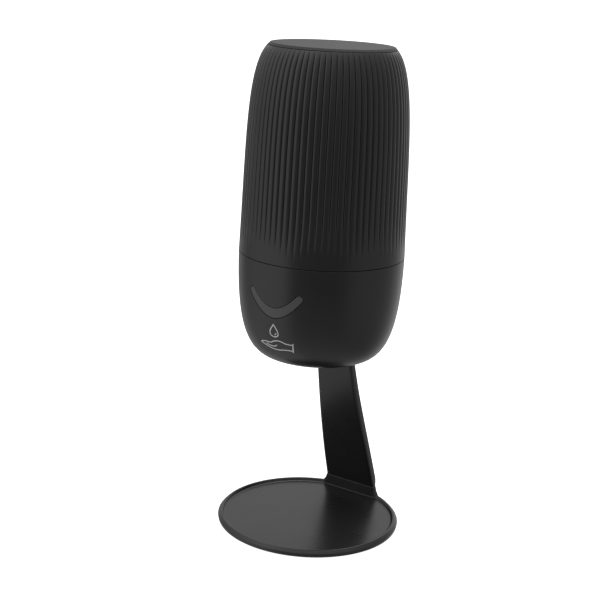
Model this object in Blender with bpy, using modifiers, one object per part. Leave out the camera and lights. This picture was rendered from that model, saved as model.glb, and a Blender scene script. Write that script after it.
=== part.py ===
"""Automatic foam soap dispenser on a drip tray with a leaning column.

Metres, +Z up, front towards -Y. The origin is the bottom centre of the round tray.
"""

import math

import bmesh
import bpy
import numpy as np
from mathutils import Matrix, Vector
from mathutils.geometry import interpolate_bezier

# Clearances and cutting
GAP = 0.0003
SLIDE_GAP = 0.0004
OVERRUN = 0.0012

# Facets round a turned shape, and along a curve
BODY_STEPS = 48
TRAY_STEPS = 48
RING_STEPS = 32
SMALL_STEPS = 18
TINY_STEPS = 8
WIRE_STEPS = 5
ARC_STEPS = 4
ROD_RESOLUTION = 2

# Drip tray
TRAY_RADIUS = 0.0480
TRAY_FOOT_INSET = 0.0018
TRAY_HEIGHT = 0.0038
TRAY_EDGE_Z = 0.0024
TRAY_FLOOR_Z = 0.0023
LIP_WIDTH = 0.0021
LIP_ROUND = 0.0007
FOOT_PAD_INSET = 0.0040
FOOT_PAD_THICKNESS = 0.0010
FOOT_PAD_STAND = 0.0005

# Column of the stand, from the tray's back rim up into the bowl
COLUMN_THICKNESS = 0.0040
COLUMN_BASE_INSET = 0.0046
COLUMN_TOP_Y = 0.0154
COLUMN_BASE_WIDTH = 0.0310
COLUMN_TOP_WIDTH = 0.0212
COLUMN_HANDLE_SHARES = ((0.4786, 0.4175), (0.8214, 0.7231))
COLUMN_WAIST_WIDTHS = (0.0296, 0.0221)
COLUMN_EDGE_ROUND = 0.0014
COLUMN_FOOT_FILLET = 0.0057
COLUMN_RINGS = 9
FILLET_RINGS = 4
TONGUE_WIDTH = 0.0150
TONGUE_THICKNESS = 0.0030
TONGUE_LENGTH = 0.0165
TONGUE_LEAD = 0.0010

# Outline of the body, turned about the vertical axis
BODY_RADIUS = 0.0420
BODY_TOP_RADIUS = 0.0305
BODY_TOP_Z = 0.2501
SEAM_Z = 0.14665
SEAM_GAP = 0.0005
BOWL_BOTTOM_Z = 0.0929
TANK_HANDLE_SHARES = ((0.958, 0.563), (0.990, 0.910))
BOWL_HANDLE_SHARES = ((0.9955, 0.438), (0.962, 1.0))
CURVE_SAMPLES = 60

# Bowl housing
BOWL_WALL = 0.0022
BOWL_LEVELS = 8
BOWL_CROWDING = 0.75
BOSS_CIRCLE_RADIUS = 0.0268
BOSS_RADIUS = 0.0030
BOSS_ROOT = 0.0026
BOSS_COUNT = 4

# Bottom cover
COVER_RADIUS = 0.0245
COVER_THICKNESS = 0.0018

# Chassis plate and its cradles
CHASSIS_RISE = 0.0193
CHASSIS_THICKNESS = 0.0018
CHASSIS_RADIUS = 0.0364
CRADLE_HEIGHT = 0.0060
CRADLE_BURY = 0.0005
PUMP_CRADLE_LENGTH = 0.0300
PUMP_CRADLE_WIDTH = 0.0170
BATTERY_CRADLE_LENGTH = 0.0460
BATTERY_CRADLE_WIDTH = 0.0150
TUBE_PASS_RADIUS = 0.0045

# Screws
SCREW_RADIUS = 0.0011
SCREW_HEAD_RADIUS = 0.0023
SCREW_HEAD_HEIGHT = 0.0013
SCREW_DEPTH = 0.0070

# Socket for the column's tongue
SOCKET_WIDTH = 0.0252
SOCKET_DEPTH = 0.0070
SOCKET_SCREW_X = 0.0102

# Tank
TANK_WALL = 0.0024
TANK_FLOOR_THICKNESS = 0.0024
TANK_FLOOR_RISE = 0.0021
TANK_SHOULDER = 0.0130
TANK_LEVEL_SHARES = (0.25,)
MOUTH_RADIUS = 0.0270
MOUTH_DEPTH = 0.0085
SHOULDER_DROP = 0.0060
CAVITY_LEVELS = 4
SPIGOT_THICKNESS = 0.0024
SPIGOT_LENGTH = 0.0050
SEAL_GROOVE_DEPTH = 0.0011
SEAL_GROOVE_HEIGHT = 0.0018
SEAL_RADIUS = 0.0005
SPOUT_RADIUS = 0.0020
SPOUT_BORE_RADIUS = 0.0012
SPOUT_LENGTH = 0.0060

# Flutes of the tank
FLUTE_COUNT = 78
FLUTE_FACETS = 3
FLUTE_DEPTH = 0.00065
FLUTE_RUNOUT = 0.0010
FLUTE_FOOT_RISE = 0.0050
FLUTE_FADE = 0.0240

# Strainer over the tank's outlet
STRAINER_RADIUS = 0.0052
STRAINER_HEIGHT = 0.0030
STRAINER_WALL = 0.0009
STRAINER_HOLE_RADIUS = 0.0007
STRAINER_HOLES = 5
STRAINER_HOLE_CIRCLE = 0.0029

# Lid
LID_EDGE_HEIGHT = 0.0011
LID_GAP = 0.0004
LID_PLATE = 0.0020
LID_EDGE_ROUND = 0.0003
SKIRT_CLEARANCE = 0.0008
SKIRT_THICKNESS = 0.0024
SKIRT_LENGTH = 0.0072
GASKET_DROP = 0.0036
GASKET_RADIUS = 0.0008
GASKET_GROOVE_DEPTH = 0.0014
GASKET_GROOVE_HEIGHT = 0.0022

# Indicator key: a smile-shaped bar bent along the bowl
KEY_HALF_SPAN = 0.0138
KEY_DROP = 0.02395
KEY_BEND_LENGTH = 0.0215
KEY_BEND_SLOPE = 2.2
KEY_MIDDLE_HALF_WIDTH = 0.0026
KEY_TIP_HALF_WIDTH = 0.0017
KEY_FLANGE_REACH = 0.0010
KEY_FLANGE_THICKNESS = 0.0015
KEY_TRAVEL = 0.0006
KEY_STEM_RADIUS = 0.0016
KEY_STEM_LENGTH = 0.0012
KEY_OUTLINE_POINTS = 7
KEY_TIP_POINTS = 6

# Key board, its switch and lamps
BOARD_THICKNESS = 0.0012
KEY_BOARD_WIDTH = 0.0280
KEY_BOARD_HEIGHT = 0.0185
SWITCH_WIDTH = 0.0060
SWITCH_DEPTH = 0.0018
PLUNGER_RADIUS = 0.0014
LAMP_WIDTH = 0.0020
LAMP_HEIGHT = 0.0016
LAMP_DEPTH = 0.0008
LAMP_PLACES = (0.0055, 0.0105)

# Pump
PUMP_Y = -0.0080
PUMP_RADIUS = 0.0110
PUMP_FACE_X = -0.0020
MOTOR_RADIUS = 0.0100
MOTOR_LENGTH = 0.0240
MOTOR_END_RADIUS = 0.0035
MOTOR_END_LENGTH = 0.0012
SHAFT_RADIUS = 0.0010
SHAFT_LENGTH = 0.0090
SHAFT_SEAT = 0.0040
HOUSING_LENGTH = 0.0100
HOUSING_WALL = 0.0028
HOUSING_BACK = 0.0015
HUB_RADIUS = 0.0050
HUB_LENGTH = 0.0026
HUB_WEIGHT_OFFSET = 0.0016
WOBBLE_RADIUS = 0.0072
WOBBLE_THICKNESS = 0.0012
WOBBLE_STEM_RADIUS = 0.0011
DIAPHRAGM_THICKNESS = 0.0010
POCKET_RADIUS = 0.0024
POCKET_DEPTH = 0.0016
POCKET_CIRCLE = 0.0046
POCKET_COUNT = 3
HEAD_FLANGE = 0.0034
HEAD_MANIFOLD_RADIUS = 0.0065
HEAD_MANIFOLD_LENGTH = 0.0066
NIPPLE_RADIUS = 0.0020
UPPER_NIPPLE_REACH = 0.0145
LOWER_NIPPLE_REACH = 0.0160
PUMP_SCREW_COUNT = 2
PUMP_SCREW_RADIUS = 0.0007
PUMP_SCREW_HEAD_RADIUS = 0.0014
PUMP_SCREW_HEAD_HEIGHT = 0.0010
PUMP_SCREW_DEPTH = 0.0085

# Tubes
TUBE_RADIUS = 0.0034
TUBE_BORE_RADIUS = 0.0023
TUBE_BEND_RADIUS = 0.0045
TUBE_OVERLAP = 0.0020

# Foam head, meshes and nozzle
FOAM_HEAD_RADIUS = 0.0070
FOAM_BORE_RADIUS = 0.0045
FOAM_HEAD_CROWN = 0.0030
FOAM_PORT_RISE = 0.0107
FOAM_PORT_REACH = 0.0110
MESH_RADIUS = 0.0042
MESH_THICKNESS = 0.0009
MESH_COUNT = 2
NOZZLE_RADIUS = 0.0039
NOZZLE_BORE_RADIUS = 0.0027
NOZZLE_STAND = 0.0006
NOZZLE_INSERT = 0.0055

# Battery and strap
BATTERY_Y = 0.0145
BATTERY_RADIUS = 0.0091
BATTERY_LENGTH = 0.0496
BATTERY_TIP_RADIUS = 0.0030
BATTERY_TIP_LENGTH = 0.0010
STRAP_THICKNESS = 0.0008
STRAP_WIDTH = 0.0080
STRAP_FOOT = 0.0030
STRAP_POINTS = 9

# Main board, its components and the charging socket
MAIN_BOARD_Y = 0.0290
MAIN_BOARD_WIDTH = 0.0300
MAIN_BOARD_HEIGHT = 0.0200
USB_RISE = 0.0070
USB_WIDTH = 0.0089
USB_HEIGHT = 0.0032
USB_DEPTH = 0.0068
USB_WALL = 0.0004
USB_TONGUE_HEIGHT = 0.0007
USB_TONGUE_SIDE = 0.0012
CHIP_SIZE = 0.0050
CHIP_HEIGHT = 0.0012
COIL_SIZE = 0.0040
COIL_HEIGHT = 0.0022
PLUG_SOCKET_WIDTH = 0.0070
PLUG_SOCKET_HEIGHT = 0.0032
PLUG_SOCKET_DEPTH = 0.0030

# Port cover at the back of the bowl
PORT_COVER_WIDTH = 0.0148
PORT_COVER_HEIGHT = 0.0084
PORT_COVER_ROUND = 0.0026
PORT_COVER_THICKNESS = 0.0009
PORT_HINGE_DROP = 0.0006
PORT_HINGE_DEPTH = 0.0014
PORT_HOLE_WIDTH = 0.0096
PORT_HOLE_HEIGHT = 0.0039
PORT_HOLE_ROUND = 0.0014
PLUG_REACH = 0.0012
PLUG_HEIGHT = 0.0026
PLUG_WIDTH = 0.0082
CORNER_POINTS = 4

# Sensor
SENSOR_Y = -0.0183
SENSOR_BOARD_WIDTH = 0.0180
SENSOR_BOARD_DEPTH = 0.0060
SENSOR_RISE = 0.0056
WINDOW_WIDTH = 0.0100
WINDOW_DEPTH = 0.0040
WINDOW_ROUND = 0.0010
WINDOW_THICKNESS = 0.0016
DIODE_RADIUS = 0.0015
DIODE_X = 0.0028

# Heights and places that follow from the sizes above
BOWL_RIM_Z = SEAM_Z - SEAM_GAP / 2
TANK_EDGE_Z = SEAM_Z + SEAM_GAP / 2
LID_EDGE_Z = BODY_TOP_Z - LID_EDGE_HEIGHT
TANK_RIM_Z = LID_EDGE_Z - LID_GAP
TANK_UNDERSIDE_Z = TANK_EDGE_Z + TANK_FLOOR_RISE
TANK_FLOOR_Z = TANK_UNDERSIDE_Z + TANK_FLOOR_THICKNESS
SPIGOT_RADIUS = BODY_RADIUS - BOWL_WALL - SLIDE_GAP
FOOT_PAD_RADIUS = TRAY_RADIUS - FOOT_PAD_INSET
COVER_TOP_Z = BOWL_BOTTOM_Z + COVER_THICKNESS
COLUMN_BASE_Y = TRAY_RADIUS - COLUMN_BASE_INSET
COLUMN_TOP_Z = BOWL_BOTTOM_Z - GAP
CHASSIS_Z = BOWL_BOTTOM_Z + CHASSIS_RISE
CHASSIS_TOP_Z = CHASSIS_Z + CHASSIS_THICKNESS
KEY_MIDDLE_Z = SEAM_Z - KEY_DROP
USB_Z = CHASSIS_TOP_Z + USB_RISE
PUMP_Z = CHASSIS_TOP_Z + PUMP_RADIUS + 5 * GAP
BATTERY_Z = CHASSIS_TOP_Z + BATTERY_RADIUS + 5 * GAP
PORT_X = (PUMP_FACE_X + HOUSING_LENGTH + DIAPHRAGM_THICKNESS + HEAD_FLANGE + TUBE_RADIUS
          + 3 * GAP)
TONGUE_Y = COLUMN_TOP_Y + COLUMN_THICKNESS / 2
PORT_HINGE_Z = USB_Z + PORT_COVER_HEIGHT / 2 - PORT_HINGE_DROP


def collection(name):
    """A new collection in the scene."""
    made = bpy.data.collections.new(name)
    bpy.context.scene.collection.children.link(made)
    return made


def clear_scene():
    """Removes the objects that the scene starts with."""
    for obj in list(bpy.data.objects):
        bpy.data.objects.remove(obj, do_unlink=True)


clear_scene()
PARTS = collection("foam_soap_dispenser")
CUTTERS = collection("cutters")


def material(name, colour, roughness, metallic):
    """A plain Principled material."""
    made = bpy.data.materials.new(name)
    made.use_nodes = True
    shader = made.node_tree.nodes["Principled BSDF"]
    shader.inputs["Base Color"].default_value = (*colour, 1.0)
    shader.inputs["Roughness"].default_value = roughness
    shader.inputs["Metallic"].default_value = metallic
    made.diffuse_color = (*colour, 1.0)
    return made


BLACK_COAT = material("black_coat", (0.016, 0.016, 0.017), 0.42, 0.0)
BLACK_PLASTIC = material("black_plastic", (0.018, 0.018, 0.019), 0.45, 0.0)
LID_PLASTIC = material("lid_plastic", (0.022, 0.022, 0.023), 0.5, 0.0)
KEY_PLASTIC = material("key_plastic", (0.060, 0.060, 0.062), 0.5, 0.0)
BLACK_RUBBER = material("black_rubber", (0.020, 0.020, 0.020), 0.8, 0.0)
CLEAR_SILICONE = material("clear_silicone", (0.62, 0.63, 0.62), 0.45, 0.0)
WHITE_PLASTIC = material("white_plastic", (0.72, 0.72, 0.70), 0.45, 0.0)
DARK_WINDOW = material("dark_window", (0.03, 0.01, 0.012), 0.1, 0.0)
BOARD_GREEN = material("board_green", (0.02, 0.12, 0.05), 0.5, 0.0)
CHIP_BLACK = material("chip_black", (0.02, 0.02, 0.02), 0.6, 0.0)
STEEL = material("steel", (0.56, 0.57, 0.58), 0.35, 1.0)
BATTERY_WRAP = material("battery_wrap", (0.04, 0.16, 0.32), 0.45, 0.0)
LAMP_WHITE = material("lamp_white", (0.85, 0.85, 0.80), 0.3, 0.0)


def place(obj, finish=None):
    """Puts an object in the parts collection with its finish, or in the cutters."""
    if finish is None:
        CUTTERS.objects.link(obj)
        obj.hide_render = True
        obj.display_type = "WIRE"
        return obj
    PARTS.objects.link(obj)
    obj.data.materials.clear()
    obj.data.materials.append(finish)
    return obj


def from_bmesh(name, mesh_data, finish=None, smooth=True):
    """An object from a bmesh, its faces turned outwards."""
    bmesh.ops.recalc_face_normals(mesh_data, faces=mesh_data.faces)
    mesh = bpy.data.meshes.new(name)
    mesh_data.to_mesh(mesh)
    mesh_data.free()
    if smooth:
        mesh.shade_smooth()
        mesh.set_sharp_from_angle(angle=math.radians(35))
    return place(bpy.data.objects.new(name, mesh), finish)


def block(name, size, centre, finish=None):
    """A box of a given size about its centre."""
    mesh_data = bmesh.new()
    bmesh.ops.create_cube(mesh_data, size=1.0)
    bmesh.ops.scale(mesh_data, vec=Vector(size), verts=mesh_data.verts)
    bmesh.ops.translate(mesh_data, vec=Vector(centre), verts=mesh_data.verts)
    return from_bmesh(name, mesh_data, finish, smooth=False)


def rod(name, radius, start, end, finish=None, steps=SMALL_STEPS):
    """A cylinder between two points."""
    start, end = Vector(start), Vector(end)
    run = end - start
    turn = run.to_track_quat("Z", "Y").to_matrix().to_4x4()
    spot = Matrix.Translation((start + end) / 2) @ turn
    mesh_data = bmesh.new()
    bmesh.ops.create_cone(mesh_data, cap_ends=True, segments=steps, radius1=radius,
                          radius2=radius, depth=run.length, matrix=spot)
    return from_bmesh(name, mesh_data, finish)


def turned(name, profile, finish=None, steps=SMALL_STEPS, ring=False):
    """A profile of (radius, height), top to bottom on its outer side, turned about Z."""
    mesh = bpy.data.meshes.new(name)
    points = [(radius, 0.0, height) for radius, height in profile]
    edges = [(i, i + 1) for i in range(len(points) - 1)]
    if ring:
        edges.append((len(points) - 1, 0))
    mesh.from_pydata(points, edges, [])
    obj = place(bpy.data.objects.new(name, mesh), finish)
    screw = obj.modifiers.new("turn", "SCREW")
    screw.steps = steps
    screw.render_steps = steps
    screw.use_merge_vertices = True
    screw.merge_threshold = 0.00001
    screw.use_smooth_shade = True
    return obj


def slab(name, outline, near, far, finish=None):
    """A flat outline of (x, z) points made thick along Y, from near to far."""
    curve = bpy.data.curves.new(name, "CURVE")
    curve.dimensions = "2D"
    curve.fill_mode = "BOTH"
    curve.extrude = abs(far - near) / 2
    spline = curve.splines.new("POLY")
    spline.points.add(len(outline) - 1)
    for point, (across, up) in zip(spline.points, outline):
        point.co = (across, up, 0.0, 1.0)
    spline.use_cyclic_u = True
    obj = bpy.data.objects.new(name, curve)
    obj.matrix_world = Matrix.Translation((0.0, (near + far) / 2, 0.0)) @ Matrix.Rotation(
        math.pi / 2, 4, "X")
    return solid_from_curve(obj, finish)


def solid_from_curve(obj, finish=None):
    """A closed mesh object in place of a curve object."""
    bpy.context.scene.collection.objects.link(obj)
    bpy.context.view_layer.update()
    evaluated = obj.evaluated_get(bpy.context.evaluated_depsgraph_get())
    mesh_data = bmesh.new()
    mesh_data.from_mesh(bpy.data.meshes.new_from_object(evaluated))
    bmesh.ops.remove_doubles(mesh_data, verts=mesh_data.verts, dist=0.00001)
    name, spot = obj.name, obj.matrix_world.copy()
    bpy.data.objects.remove(obj, do_unlink=True)
    made = from_bmesh(name, mesh_data, finish)
    made.name = name
    made.matrix_world = spot
    return made


def rod_along(name, points, radius, finish=None):
    """A round rod through points."""
    curve = bpy.data.curves.new(name, "CURVE")
    curve.dimensions = "3D"
    curve.bevel_depth = radius
    curve.bevel_resolution = ROD_RESOLUTION
    curve.use_fill_caps = True
    spline = curve.splines.new("POLY")
    spline.points.add(len(points) - 1)
    for point, spot in zip(spline.points, points):
        point.co = (*spot, 1.0)
    return solid_from_curve(bpy.data.objects.new(name, curve), finish)


def combine(obj, other, operation, solver="EXACT"):
    """Adds a Boolean modifier with another object."""
    modifier = obj.modifiers.new(operation.lower(), "BOOLEAN")
    modifier.operation = operation
    modifier.solver = solver
    modifier.object = other
    return obj


def cut(obj, *others, solver="EXACT"):
    """Cuts each other object out of this one."""
    for other in others:
        combine(obj, other, "DIFFERENCE", solver)
    return obj


def join(obj, *others, solver="EXACT"):
    """Joins each other object to this one."""
    for other in others:
        combine(obj, other, "UNION", solver)
    return obj


def shift(obj, x=0.0, y=0.0, z=0.0):
    """Moves an object to a place."""
    obj.location = (x, y, z)
    return obj


def origin_at(obj, spot):
    """Puts an object's origin on its joint's axis and leaves its shape where it is."""
    there = Matrix.Translation(Vector(spot))
    obj.data.transform(there.inverted() @ obj.matrix_world)
    obj.matrix_world = there
    return obj


def along_x(obj, x, y, z):
    """Turns an object's +Z to +X, with its origin at a place."""
    obj.matrix_world = Matrix.Translation((x, y, z)) @ Matrix.Rotation(math.pi / 2, 4, "Y")
    return obj


def round_places(count, radius, first=0.0):
    """Places spaced evenly round a circle."""
    for i in range(count):
        angle = first + 2 * math.pi * i / count
        yield radius * math.cos(angle), radius * math.sin(angle)


def tank_curve(count):
    """The body's outline from the top edge down to the seam."""
    height = BODY_TOP_Z - SEAM_Z
    knots = [Vector((BODY_RADIUS * across, SEAM_Z + height * up))
             for across, up in TANK_HANDLE_SHARES]
    return interpolate_bezier(Vector((BODY_TOP_RADIUS, BODY_TOP_Z)), knots[1], knots[0],
                              Vector((BODY_RADIUS, SEAM_Z)), count)


def bowl_curve(count):
    """The body's outline from the seam down to the bottom cover."""
    height = SEAM_Z - BOWL_BOTTOM_Z
    knots = [Vector((BODY_RADIUS * across, SEAM_Z - height * down))
             for across, down in BOWL_HANDLE_SHARES]
    return interpolate_bezier(Vector((BODY_RADIUS, SEAM_Z)), knots[0], knots[1],
                              Vector((COVER_RADIUS - OVERRUN, BOWL_BOTTOM_Z)), count)


def tank_radius(height):
    """The tank's outer radius at a height."""
    points = tank_curve(CURVE_SAMPLES)
    return float(np.interp(height, [p.y for p in reversed(points)],
                           [p.x for p in reversed(points)]))


def bowl_radius(height):
    """The bowl's outer radius at a height."""
    points = bowl_curve(CURVE_SAMPLES)
    return float(np.interp(height, [p.y for p in reversed(points)],
                           [p.x for p in reversed(points)]))


def bowl_profile():
    """A few points of the bowl's outline, closer together towards the bottom."""
    fine = bowl_curve(CURVE_SAMPLES)
    shares = [(i / (BOWL_LEVELS - 1)) ** BOWL_CROWDING for i in range(BOWL_LEVELS)]
    return [fine[round((len(fine) - 1) * share)] for share in shares]


def bowl_core(name, inset):
    """A turned solid that follows the bowl's outline at a depth below its surface."""
    wide = [(p.x - inset, p.y) for p in bowl_profile()]
    return turned(name, [(0.0, SEAM_Z), *wide, (0.0, BOWL_BOTTOM_Z)], steps=BODY_STEPS)


def screw_at(name, top, direction, length, radius=SCREW_RADIUS,
             head_radius=SCREW_HEAD_RADIUS, head_height=SCREW_HEAD_HEIGHT):
    """A screw whose head rests at top, its shank running along direction."""
    profile = [(0.0, head_height), (head_radius, head_height), (head_radius, 0.0),
               (radius, 0.0), (radius, -length), (0.0, -length)]
    obj = turned(name, profile, STEEL, steps=TINY_STEPS)
    turn = (-Vector(direction)).to_track_quat("Z", "Y").to_matrix().to_4x4()
    obj.matrix_world = Matrix.Translation(Vector(top)) @ turn
    return obj


def build_tray():
    """The round tray with its raised lip and the recess for the foot pad."""
    pad_edge = FOOT_PAD_RADIUS + GAP
    pad_top = FOOT_PAD_THICKNESS + GAP
    inner = TRAY_RADIUS - LIP_WIDTH
    profile = [
        (0.0, TRAY_FLOOR_Z),
        (inner - LIP_ROUND, TRAY_FLOOR_Z),
        (inner, TRAY_FLOOR_Z + LIP_ROUND),
        (inner + LIP_ROUND, TRAY_HEIGHT),
        (TRAY_RADIUS - LIP_ROUND, TRAY_HEIGHT),
        (TRAY_RADIUS - LIP_ROUND / 4, TRAY_HEIGHT - LIP_ROUND / 2),
        (TRAY_RADIUS, TRAY_EDGE_Z),
        (TRAY_RADIUS - TRAY_FOOT_INSET, FOOT_PAD_STAND),
        (pad_edge, FOOT_PAD_STAND),
        (pad_edge, pad_top),
        (0.0, pad_top),
    ]
    return turned("stand", profile, BLACK_COAT, steps=TRAY_STEPS)


def column_ring(width, thickness, front, height, edge_round):
    """A rounded rectangle round the column at one height."""
    across = width / 2 - edge_round
    along = thickness / 2 - edge_round
    middle = front + thickness / 2
    points = []
    for quarter, (side_x, side_y) in enumerate(((1, 1), (-1, 1), (-1, -1), (1, -1))):
        for step in range(ARC_STEPS):
            angle = math.pi / 2 * (quarter + step / (ARC_STEPS - 1))
            points.append((side_x * across + edge_round * math.cos(angle),
                           middle + side_y * along + edge_round * math.sin(angle), height))
    return points


def column_section(share):
    """Width, front face and height of the column at a share of its rise."""
    low = Vector((COLUMN_BASE_Y, TRAY_FLOOR_Z))
    high = Vector((COLUMN_TOP_Y, COLUMN_TOP_Z))
    knots = [Vector((low.x + (high.x - low.x) * lean, low.y + (high.y - low.y) * rise))
             for lean, rise in COLUMN_HANDLE_SHARES]
    weights = ((1 - share) ** 3, 3 * (1 - share) ** 2 * share,
               3 * (1 - share) * share ** 2, share ** 3)
    spot = sum((w * p for w, p in zip(weights, (low, *knots, high))), Vector((0.0, 0.0)))
    widths = (COLUMN_BASE_WIDTH, *COLUMN_WAIST_WIDTHS, COLUMN_TOP_WIDTH)
    width = sum(w * p for w, p in zip(weights, widths))
    return width, spot.x, spot.y


def fillet_spread(rise):
    """How far the foot of the column spreads at a height above the tray's floor."""
    if rise >= COLUMN_FOOT_FILLET:
        return 0.0
    drop = COLUMN_FOOT_FILLET - max(rise, 0.0)
    return COLUMN_FOOT_FILLET - math.sqrt(COLUMN_FOOT_FILLET ** 2 - drop ** 2)


def build_column():
    """The leaning blade with its filleted foot, its shoulder and its tongue."""
    rings = []
    rises = [COLUMN_FOOT_FILLET * (i / FILLET_RINGS) ** 2 for i in range(FILLET_RINGS)]
    root_z = FOOT_PAD_THICKNESS + 2 * GAP
    shares = [i / CURVE_SAMPLES for i in range(CURVE_SAMPLES + 1)]
    heights = [column_section(s)[2] for s in shares]
    foot_share = float(np.interp(TRAY_FLOOR_Z + COLUMN_FOOT_FILLET, heights, shares))
    levels = [(0.0, root_z)]
    levels += [(float(np.interp(TRAY_FLOOR_Z + r, heights, shares)), None) for r in rises]
    levels += [(foot_share + (1 - foot_share) * i / COLUMN_RINGS, None)
               for i in range(COLUMN_RINGS + 1)]
    for share, forced in levels:
        width, front, height = column_section(share)
        spread = fillet_spread(height - TRAY_FLOOR_Z)
        rings.append(column_ring(width + 2 * spread, COLUMN_THICKNESS + spread,
                                 front - spread, forced or height, COLUMN_EDGE_ROUND))
    tongue_round = TONGUE_THICKNESS / 2 - GAP
    tongue_front = TONGUE_Y - TONGUE_THICKNESS / 2
    tongue_top = COLUMN_TOP_Z + TONGUE_LENGTH
    for inset, height in ((0.0, COLUMN_TOP_Z), (0.0, tongue_top - TONGUE_LEAD),
                          (TONGUE_LEAD, tongue_top)):
        rings.append(column_ring(TONGUE_WIDTH - inset, TONGUE_THICKNESS - inset / 2,
                                 tongue_front + inset / 4, height, tongue_round - inset / 4))
    mesh_data = bmesh.new()
    loops = [[mesh_data.verts.new(point) for point in ring] for ring in rings]
    for low, high in zip(loops, loops[1:]):
        for i in range(len(low)):
            j = (i + 1) % len(low)
            mesh_data.faces.new((low[i], low[j], high[j], high[i]))
    mesh_data.faces.new(loops[0])
    mesh_data.faces.new(loops[-1])
    column = from_bmesh("column", mesh_data)
    limit = rod("column_limit", TRAY_RADIUS - LIP_WIDTH / 2, (0.0, 0.0, -OVERRUN),
                (0.0, 0.0, tongue_top + OVERRUN), steps=2 * TRAY_STEPS)
    return combine(column, limit, "INTERSECT")


def build_stand():
    """Tray and column, one casting, and the pad under it."""
    join(build_tray(), build_column())
    turned("foot_pad", [(0.0, FOOT_PAD_THICKNESS), (FOOT_PAD_RADIUS, FOOT_PAD_THICKNESS),
                        (FOOT_PAD_RADIUS, 0.0), (0.0, 0.0)], BLACK_RUBBER, RING_STEPS)


def key_outline(grow):
    """The smile-shaped outline of the indicator key, made larger all round by grow."""
    def middle(x):
        reach = math.hypot(x, KEY_BEND_LENGTH)
        return KEY_MIDDLE_Z + KEY_BEND_SLOPE * (reach - KEY_BEND_LENGTH)

    def slope(x):
        return KEY_BEND_SLOPE * x / math.hypot(x, KEY_BEND_LENGTH)

    lower, upper = [], []
    for i in range(KEY_OUTLINE_POINTS):
        share = i / (KEY_OUTLINE_POINTS - 1)
        x = KEY_HALF_SPAN * share
        half = KEY_MIDDLE_HALF_WIDTH * (1 - share) + KEY_TIP_HALF_WIDTH * share + grow
        lean = math.atan(slope(x))
        lower.append((x + half * math.sin(lean), middle(x) - half * math.cos(lean)))
        upper.append((x - half * math.sin(lean), middle(x) + half * math.cos(lean)))
    tip = []
    lean = math.atan(slope(KEY_HALF_SPAN))
    half = KEY_TIP_HALF_WIDTH + grow
    for i in range(1, KEY_TIP_POINTS):
        angle = lean - math.pi / 2 + math.pi * i / KEY_TIP_POINTS
        tip.append((KEY_HALF_SPAN + half * math.cos(angle),
                    middle(KEY_HALF_SPAN) + half * math.sin(angle)))
    right = lower + tip + upper[::-1]
    left = [(-x, z) for x, z in right[1:-1]]
    return right + left[::-1]


def rounded_outline(width, height, corner, middle_z=0.0):
    """A rectangle with round corners, about x = 0."""
    points = []
    for quarter, (side_x, side_z) in enumerate(((1, 1), (-1, 1), (-1, -1), (1, -1))):
        for step in range(CORNER_POINTS):
            angle = math.pi / 2 * (quarter + step / (CORNER_POINTS - 1))
            points.append((side_x * (width / 2 - corner) + corner * math.cos(angle),
                           middle_z + side_z * (height / 2 - corner) + corner * math.sin(angle)))
    return points


def flat_slab(name, outline, low, high, finish=None, x=0.0, y=0.0):
    """A flat outline of (x, y) points made thick along Z, from low to high."""
    curve = bpy.data.curves.new(name, "CURVE")
    curve.dimensions = "2D"
    curve.fill_mode = "BOTH"
    curve.extrude = (high - low) / 2
    spline = curve.splines.new("POLY")
    spline.points.add(len(outline) - 1)
    for point, (across, along) in zip(spline.points, outline):
        point.co = (across, along, 0.0, 1.0)
    spline.use_cyclic_u = True
    obj = bpy.data.objects.new(name, curve)
    obj.matrix_world = Matrix.Translation((x, y, (low + high) / 2))
    return solid_from_curve(obj, finish)


def port_recess_y():
    """How far back the flat floor of the port cover's recess lies."""
    reach = math.sqrt(bowl_radius(USB_Z) ** 2 - (PORT_COVER_WIDTH / 2) ** 2)
    return reach - PORT_COVER_THICKNESS - GAP


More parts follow.
